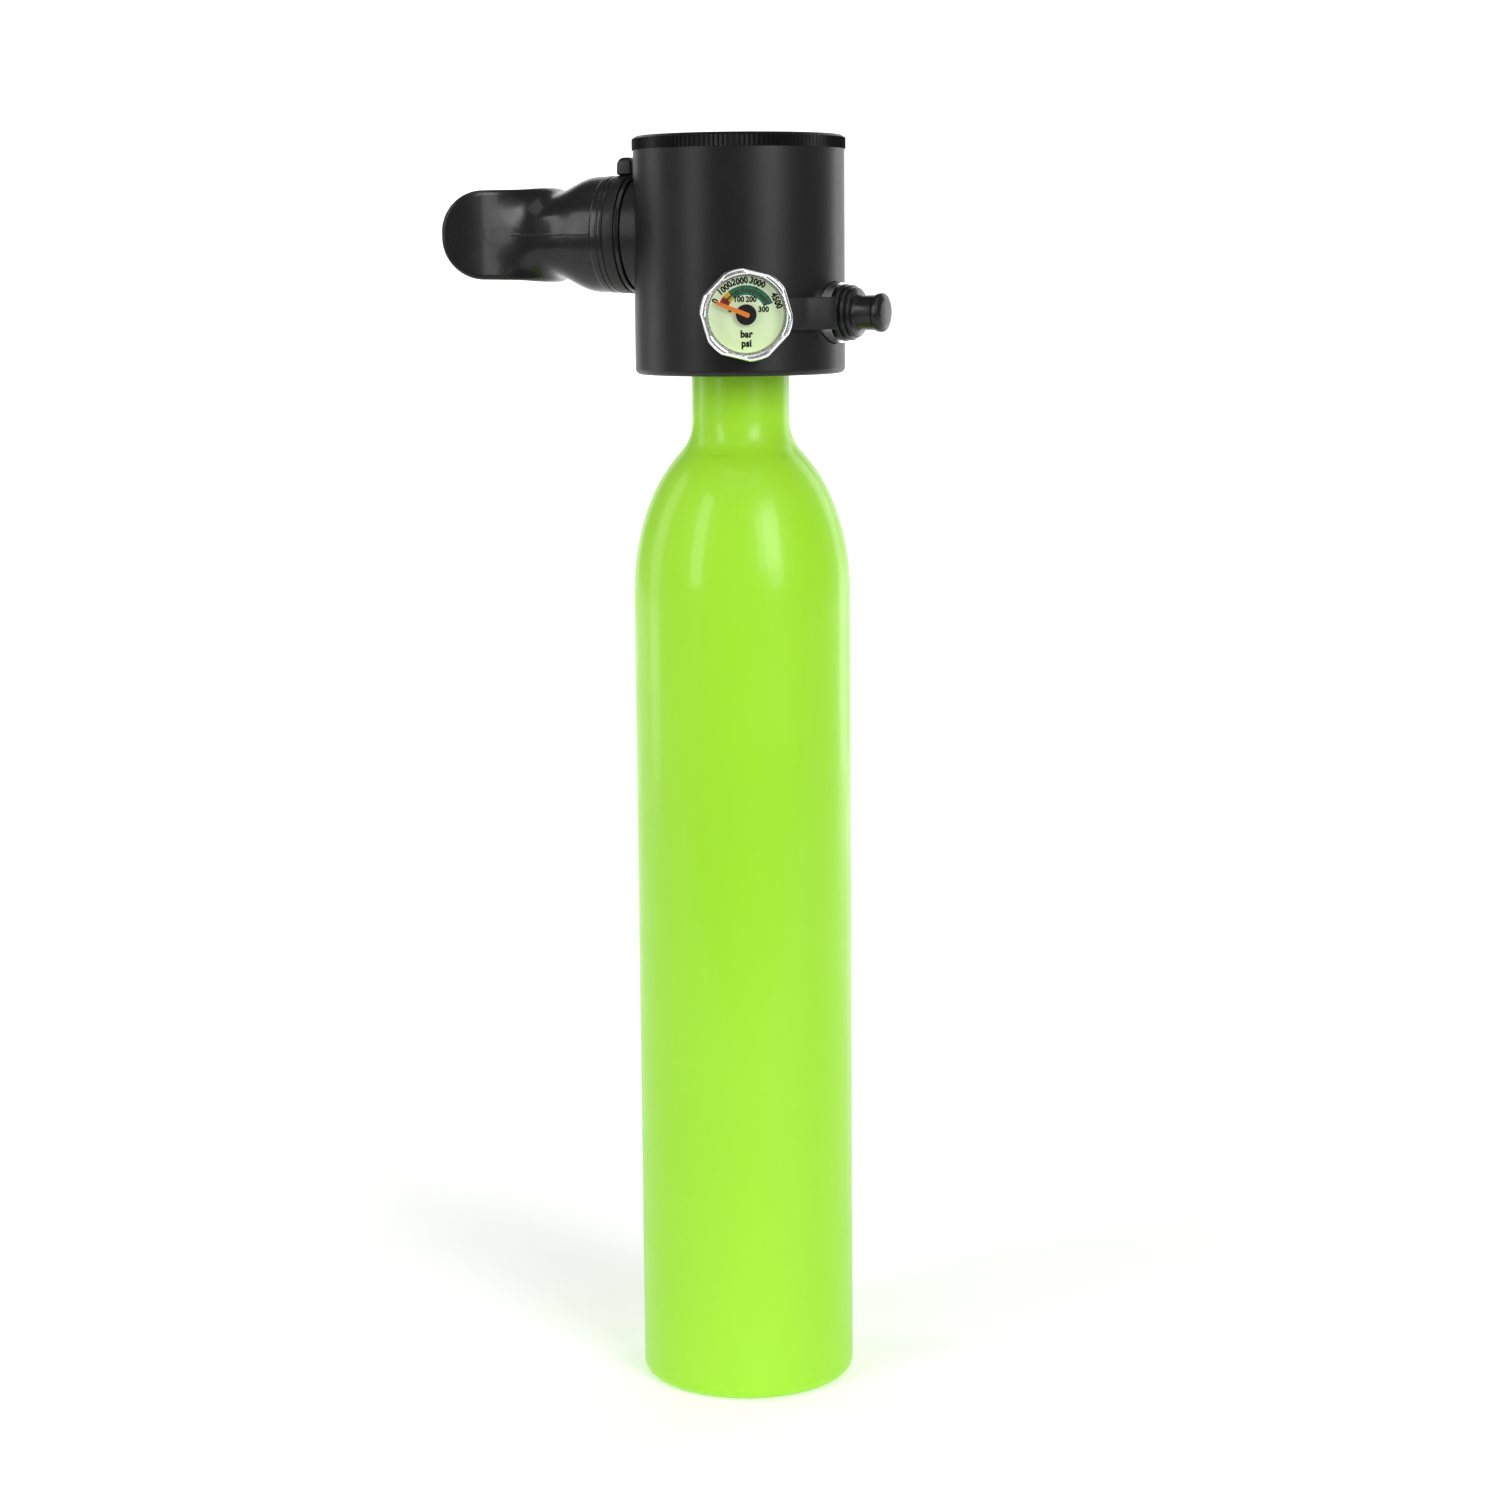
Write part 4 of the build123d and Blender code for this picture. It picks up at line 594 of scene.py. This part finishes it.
def mouthpiece():
    axes = mouthpiece_grid()
    points, faces = surface_net(axes, mouthpiece_field(*np.meshgrid(*axes, indexing="ij")))
    points[:, 2] += outlet_level
    body = mesh_piece("mouthpiece_body", points.tolist(), faces.tolist(), looks["mouth_rubber"],
                      slot="mouth_rubber")

    # the collar: a groove for the tie, then a fine ring groove
    tie_start, tie_end = tie_middle - groove_half, tie_middle + groove_half
    collar_root, collar_end, collar_edge = 29.4, 37.9, 15.7
    collar = rounded(
        [(collar_root, collar_bore), (collar_root, collar_edge), (tie_start - 0.12, collar_outside),
         (tie_start - 0.05, collar_groove), (tie_end + 0.05, collar_groove), (tie_end + 0.12, collar_outside),
         (tie_end + 1.25, 15.98), (tie_end + 1.4, 15.78), (tie_end + 1.6, 15.78), (tie_end + 1.75, 15.98),
         (collar_end - 0.5, collar_outside), (collar_end, collar_edge), (collar_end, collar_bore)],
        0.25, closed=True,
    )
    ring_piece = lathe("mouthpiece_collar", (0, 0, outlet_level), outlet_out, collar, looks["mouth_rubber"],
                       closed=True, slot="mouth_rubber", sharp=60)
    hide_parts("mouthpiece")
    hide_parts("mouthpiece")


def tie():
    """A nylon strap in the collar's groove, with its lock head on top and the cut tail beyond it."""
    low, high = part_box("mouthpiece_tie")
    half_length = (high.x - low.x) / 2 / MM
    outer, half, half_wide = 16.15, 1.62, 3.2
    near, far = tie_middle - half, tie_middle + half
    corners = [(near, collar_groove), (near, outer), (far, outer), (far, collar_groove)]
    strap = rounded(corners, 0.3, closed=True)
    band = lathe("tie_strap", (0, 0, outlet_level), outlet_out, strap, looks["black_nylon"], closed=True,
                 slot="black_nylon", sharp=40)

    # the head: (level, inset of its outline, slant of its ends), from the strap up
    top, bottom = high.z / MM, outlet_level + outer - 0.15
    levels = ((bottom, 0.35, 0.0), (bottom + 0.4, 0.0, 0.0), (top - 1.5, 0.1, 0.0), (top - 0.5, 0.35, 0.5),
              (top - 0.1, 0.75, 0.9), (top, 1.1, 1.2))
    points = []
    for level, inset, slant in levels:
        outline = box_outline(half_length - inset, half_wide - inset, 0.5)
        for x, y in outline:
            points.append((-tie_middle + x + slant * (0.5 - x / half_length) / 2, y, level))
    head = mesh_piece("tie_head", points, skin(len(levels), len(outline)), looks["black_nylon"],
                      slot="black_nylon", sharp=35)

    # the cut tail
    tail = box_outline(1.5, 0.5, 0.3)
    start, end = half_wide - 0.3, half_wide + 1.6
    lift = outlet_level + outer + 1.6
    points = [(-tie_middle + x, y, lift + z) for y in (end, start) for x, z in tail]
    stub = mesh_piece("tie_tail", points, skin(2, len(tail)), looks["black_nylon"],
                      slot="black_nylon", sharp=35)
    for piece in (band, head, stub):
        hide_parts("mouthpiece_tie")


mouthpiece()
tie()


# ---- Dust cap: three stepped ribs and a closed sleeve with a domed end
def dust_cap():
    start, end = along("dust_cap", fill_out)
    bore, end_wall = 4.08, 1.7

    # each corner is (reach, radius, rounding); the ribs' are from the flange, the bead's back from the end
    ribs = [(0, 6.6, 0.5), (0.25, 7.6, 0.6), (1.45, 7.6, 0.6), (1.65, 6.7, 0.2), (1.95, 6.7, 0.2),
            (2.15, 7.4, 0.5), (3.1, 7.4, 0.5), (3.3, 6.3, 0.2), (3.6, 6.3, 0.2), (3.8, 6.8, 0.4),
            (4.5, 6.6, 0.5), (4.75, 5.1, 0.4), (5.2, 4.6, 0.3)]
    bead = [(2.6, 4.7, 0.5), (2.2, 5.15, 0.4), (0.7, 5.2, 0.7), (0.1, 3.6, 1.5)]
    outline = [(start, bore)]
    outline += [(start + reach, radius, rounding) for reach, radius, rounding in ribs]
    outline += [(end - reach, radius, rounding) for reach, radius, rounding in bead]
    outline.append((end, 0))
    profile = rounded(outline, 0.3)
    inner = [(end - end_wall, 0), (end - end_wall, bore), (start, bore)]
    piece = lathe("dust_cap_shape", (0, 0, port_level), fill_out, inner + profile[1:], looks["black_rubber"],
                  body="cap", slot="black_rubber", sharp=60)
    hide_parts("dust_cap")


dust_cap()


# ---- Gauge: bezel with six flats, printed dial
def gauge_place(across, up, reach):
    """A point on the gauge's face, in millimetres: across to the viewer's right, up, and out."""
    return gauge_out * reach + gauge_side * across + UP * (port_level + up)


def bezel():
    case_depth, round_radius, flat_reach = 9.5, 12.15, 11.55
    flat_count, flat_turn, steps = 6, 16.0, 360
    between = 360 / flat_count
    front = along("gauge_case", gauge_out)[1]
    back = front - case_depth
    points = []
    for step in range(steps, 0, -1):
        turn = 2 * math.pi * step / steps
        off = (math.degrees(turn) - flat_turn + between / 2) % between - between / 2
        outer = min(round_radius, flat_reach / math.cos(math.radians(off)))
        for reach, radius in case_section(back, front, outer):
            points.append(gauge_place(radius * math.cos(turn), radius * math.sin(turn), reach))
    count = len(case_section(back, front, round_radius))
    case = mesh_piece("gauge_bezel", points, skin(steps, count, closed=True), looks["polished_chrome"],
                      slot="polished_chrome", sharp=35)
    root, shoulder, thread_radius, shank_radius = 9.4, 15, 4.95, 6.9
    top = back + 0.5
    outline = [(root, 0), (root, thread_radius), (shoulder, thread_radius), (shoulder, shank_radius),
               (top, shank_radius), (top, 0)]
    stem = lathe("gauge_stem", (0, 0, port_level), gauge_out, rounded(outline, 0.2), looks["polished_chrome"],
                 slot="polished_chrome")
    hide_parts("gauge_case")
    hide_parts("gauge_case")


def case_section(back, front, outer):
    """The case's cut at one turn: outside from back to front, over the rim and down inside."""
    stem_hole, lens_seat, wall_inside = 6.0, 10.36, 10.02
    seat_level, floor_level = front - 1.9, back + 1.8
    crown = [(front - 1.15, outer), (front - 0.5, outer - 0.12), (front - 0.12, outer - 0.5),
             (front, outer - 0.95), (front - 0.1, 10.72), (front - 0.32, 10.45)]
    foot = [(back, stem_hole), (back, outer - 0.45), (back + 0.15, outer - 0.12), (back + 0.45, outer)]
    inside = [(front - 0.55, lens_seat), (seat_level, lens_seat), (seat_level, wall_inside),
              (floor_level, wall_inside), (floor_level, stem_hole)]
    return foot + crown + inside


face_reach = along("gauge_dial", gauge_out)[1]
ink = 0.03  # thickness of one printed layer


def arc_band(name, inner, outer, start, end, look, lift=1):
    """A printed stretch of ring on the dial, between two angles from the viewer's right."""
    steps = max(2, int(abs(end - start) / 1.5))
    points, faces = [], []
    for step in range(steps + 1):
        turn = math.radians(start + (end - start) * step / steps)
        for radius in (inner, outer):
            across, up = radius * math.cos(turn), radius * math.sin(turn)
            points.append(gauge_place(across, up, face_reach + ink * lift))
    for step in range(steps):
        faces.append((2 * step, 2 * step + 1, 2 * step + 3, 2 * step + 2))
    mesh_piece(name, points, faces, looks[look], slot="pale_dial")


def lettering(name, words, height, across, up, turn, look="print_black"):
    """Upright plain words or a number on the dial, centred on a point and turned."""
    capitals, boldness, narrowing = 0.7, 0.065, 0.9  # shares of the font's size, the height and the width
    curve = bpy.data.curves.new(name, "FONT")
    curve.body = words
    curve.align_x = "CENTER"
    curve.align_y = "CENTER"
    curve.size = height / capitals * MM
    curve.offset = boldness * height * MM
    curve.space_character = 1.05
    curve.resolution_u = 3
    holder = bpy.data.objects.new(name + "_curve", curve)
    bpy.context.scene.collection.objects.link(holder)
    mesh = bpy.data.meshes.new_from_object(holder.evaluated_get(bpy.context.evaluated_depsgraph_get()))
    bpy.data.objects.remove(holder)
    lean = math.radians(turn)
    placed = []
    for vertex in mesh.vertices:
        flat_x = vertex.co.x / MM * narrowing
        flat_y = vertex.co.y / MM
        right = flat_x * math.cos(lean) - flat_y * math.sin(lean)
        rise = flat_x * math.sin(lean) + flat_y * math.cos(lean)
        placed.append(gauge_place(across + right, up + rise, face_reach + 2 * ink))
    faces = [tuple(polygon.vertices) for polygon in mesh.polygons]
    bpy.data.meshes.remove(mesh)
    mesh_piece(name, placed, faces, looks[look], slot="pale_dial")


def dial():
    """Two scales side by side, each with red, yellow and green bands, a line, ticks and numbers."""
    zero, full = 156.0, 24.0  # the scale's ends, in degrees from the viewer's right
    full_psi, full_bar, full_bar_in_psi = 4500, 300, 4351
    per_thousand = (zero - full) / full_psi * 1000
    band_marks = (0, 500, 1000, full_psi)
    number_radius = 8.75

    def psi(value):
        return zero - per_thousand * value / 1000

    def bar(value):
        return zero - (zero - psi(full_bar_in_psi)) * value / full_bar

    for name, inner, outer in (("psi", 6.35, 7.6), ("bar", 5.1, 6.15)):
        for look, start, end in zip(("print_red", "print_yellow", "print_green"), band_marks, band_marks[1:]):
            arc_band(f"dial_{name}_{look[6:]}", inner, outer, psi(start), psi(end), look)
    arc_band("dial_psi_line", 6.24, 6.5, zero, full, "print_black", lift=2)
    arc_band("dial_bar_line", 5.96, 6.18, zero, full, "print_black", lift=2)
    for value in range(0, full_psi + 1, 500):
        numbered = value % 1000 == 0 or value == full_psi
        half = 0.55 if numbered else 0.35
        far = 7.75 if numbered else 7.1
        at = psi(value)
        arc_band(f"dial_psi_tick_{value}", 6.4, far, at - half, at + half, "print_black", lift=2)
    for value in range(0, full_bar + 1, 25):
        near = 5.05 if value % 100 == 0 else 5.55
        at = bar(value)
        arc_band(f"dial_bar_tick_{value}", near, 6.1, at - 0.5, at + 0.5, "print_black", lift=2)
    for value, nudge in ((0, 0), (1000, 2), (2000, 3), (3000, 2), (full_psi, 0)):
        turn = psi(value) + nudge
        across = number_radius * math.cos(math.radians(turn))
        up = number_radius * math.sin(math.radians(turn))
        lettering(f"dial_psi_number_{value}", str(value), 1.6, across, up, turn - 90)
    for value, across, up in ((0, -4.2, 1.3), (100, -1.85, 3.95), (200, 1.35, 3.95), (full_bar, 4.6, 1.3)):
        lettering(f"dial_bar_number_{value}", str(value), 1.4, across, up, 0)
    lettering("dial_bar_word", "bar", 1.8, 0.05, -5.1, 0)
    lettering("dial_psi_word", "psi", 1.8, 0.05, -7.5, 0)


def needle():
    """The pointer lies over the black hub, a little past its middle."""
    reach = along("needle_hub", gauge_out)[1] + 0.05
    turn = math.radians(158)
    length, tail, root, point, sheet = 8.5, 0.9, 0.68, 0.42, 0.25
    outline = [(-tail, -root, 0.6), (length, -point, 0.2), (length, point, 0.2), (-tail, root, 0.6)]
    shape = rounded(outline, 0.3, closed=True)
    points = []
    for level in (reach, reach + sheet):
        for out, aside in shape:
            across = out * math.cos(turn) - aside * math.sin(turn)
            up = out * math.sin(turn) + aside * math.cos(turn)
            points.append(gauge_place(across, up, level))
    piece = mesh_piece("needle_pointer", points, skin(2, len(shape)), looks["orange_needle"], body="pointer",
                       slot="orange_needle", sharp=30)
    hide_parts("gauge_needle")


bezel()
dial()
needle()


# ---- Tether: an eye round the gauge stem and a flat strap along the housing to the dust cap
def tether():
    thick, tall, rim, gap = 1.8, 8.6, 0.45, 0.25
    eye_bore, eye_outer = 7.05, 9.5
    middle = housing_radius + gap + thick / 2

    # the strap lies on the housing from the eye, then leaves it in a curve to the dust cap's flange
    hug_steps, curve_steps = 18, 12
    start_turn = math.atan2(gauge_out.y, gauge_out.x) + 8.0 / middle
    leave_turn = math.radians(-36)
    path = []
    for step in range(hug_steps + 1):
        turn = start_turn + (leave_turn - start_turn) * step / hug_steps
        path.append(Vector((math.cos(turn), math.sin(turn), 0)) * middle)
    goal = fill_out * (along("dust_cap", fill_out)[0] + 0.9) - fill_side * 7.45
    leaving = Vector((-math.sin(leave_turn), math.cos(leave_turn), 0))
    arriving = (fill_side * 0.95 + fill_out * 0.3).normalized()
    first = path[-1].copy()
    pull = (goal - first).length / 3
    for step in range(1, curve_steps + 1):
        part = step / curve_steps
        path.append(first * (1 - part) ** 3 + (first + leaving * pull) * 3 * part * (1 - part) ** 2
                    + (goal - arriving * pull) * 3 * part ** 2 * (1 - part) + goal * part ** 3)
    section = box_outline(thick / 2, tall / 2, rim, steps=3)
    points = []
    for index, place in enumerate(path):
        ahead = path[min(index + 1, len(path) - 1)] - path[max(index - 1, 0)]
        side = Vector((ahead.y, -ahead.x, 0)).normalized()
        for out, up in section:
            points.append(place + side * out + UP * (port_level + up))
    strap = mesh_piece("tether_strap", points, skin(len(path), len(section)), looks["tether_rubber"],
                       slot="tether_rubber", sharp=50)

    # the eye bends with the housing
    turns = 96
    corners = [(eye_bore, -thick / 2), (eye_outer, -thick / 2), (eye_outer, thick / 2), (eye_bore, thick / 2)]
    ring = rounded(corners, rim, steps=3, closed=True)
    points = []
    for step in range(turns, 0, -1):
        turn = 2 * math.pi * step / turns
        for radius, out in ring:
            across = radius * math.cos(turn)
            reach = math.sqrt(middle ** 2 - across ** 2) + out
            points.append(gauge_place(across, radius * math.sin(turn), reach))
    eye_ring = mesh_piece("tether_eye", points, skin(turns, len(ring), closed=True), looks["tether_rubber"],
                          slot="tether_rubber", sharp=50)
    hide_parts("cap_tether")
    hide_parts("cap_tether")


tether()


# ---- Springs: each one is a copy of its part's coil, held on the tank
def spring(node):
    piece = bpy.data.objects.new(node + "_coil", nodes[node].data.copy())
    bpy.context.scene.collection.objects.link(piece)
    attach(piece, "tank")
    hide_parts(node)
    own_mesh(piece)


spring("purge_spring")
spring("piston_spring")
spring("poppet_spring")
spring("fill_check_spring")
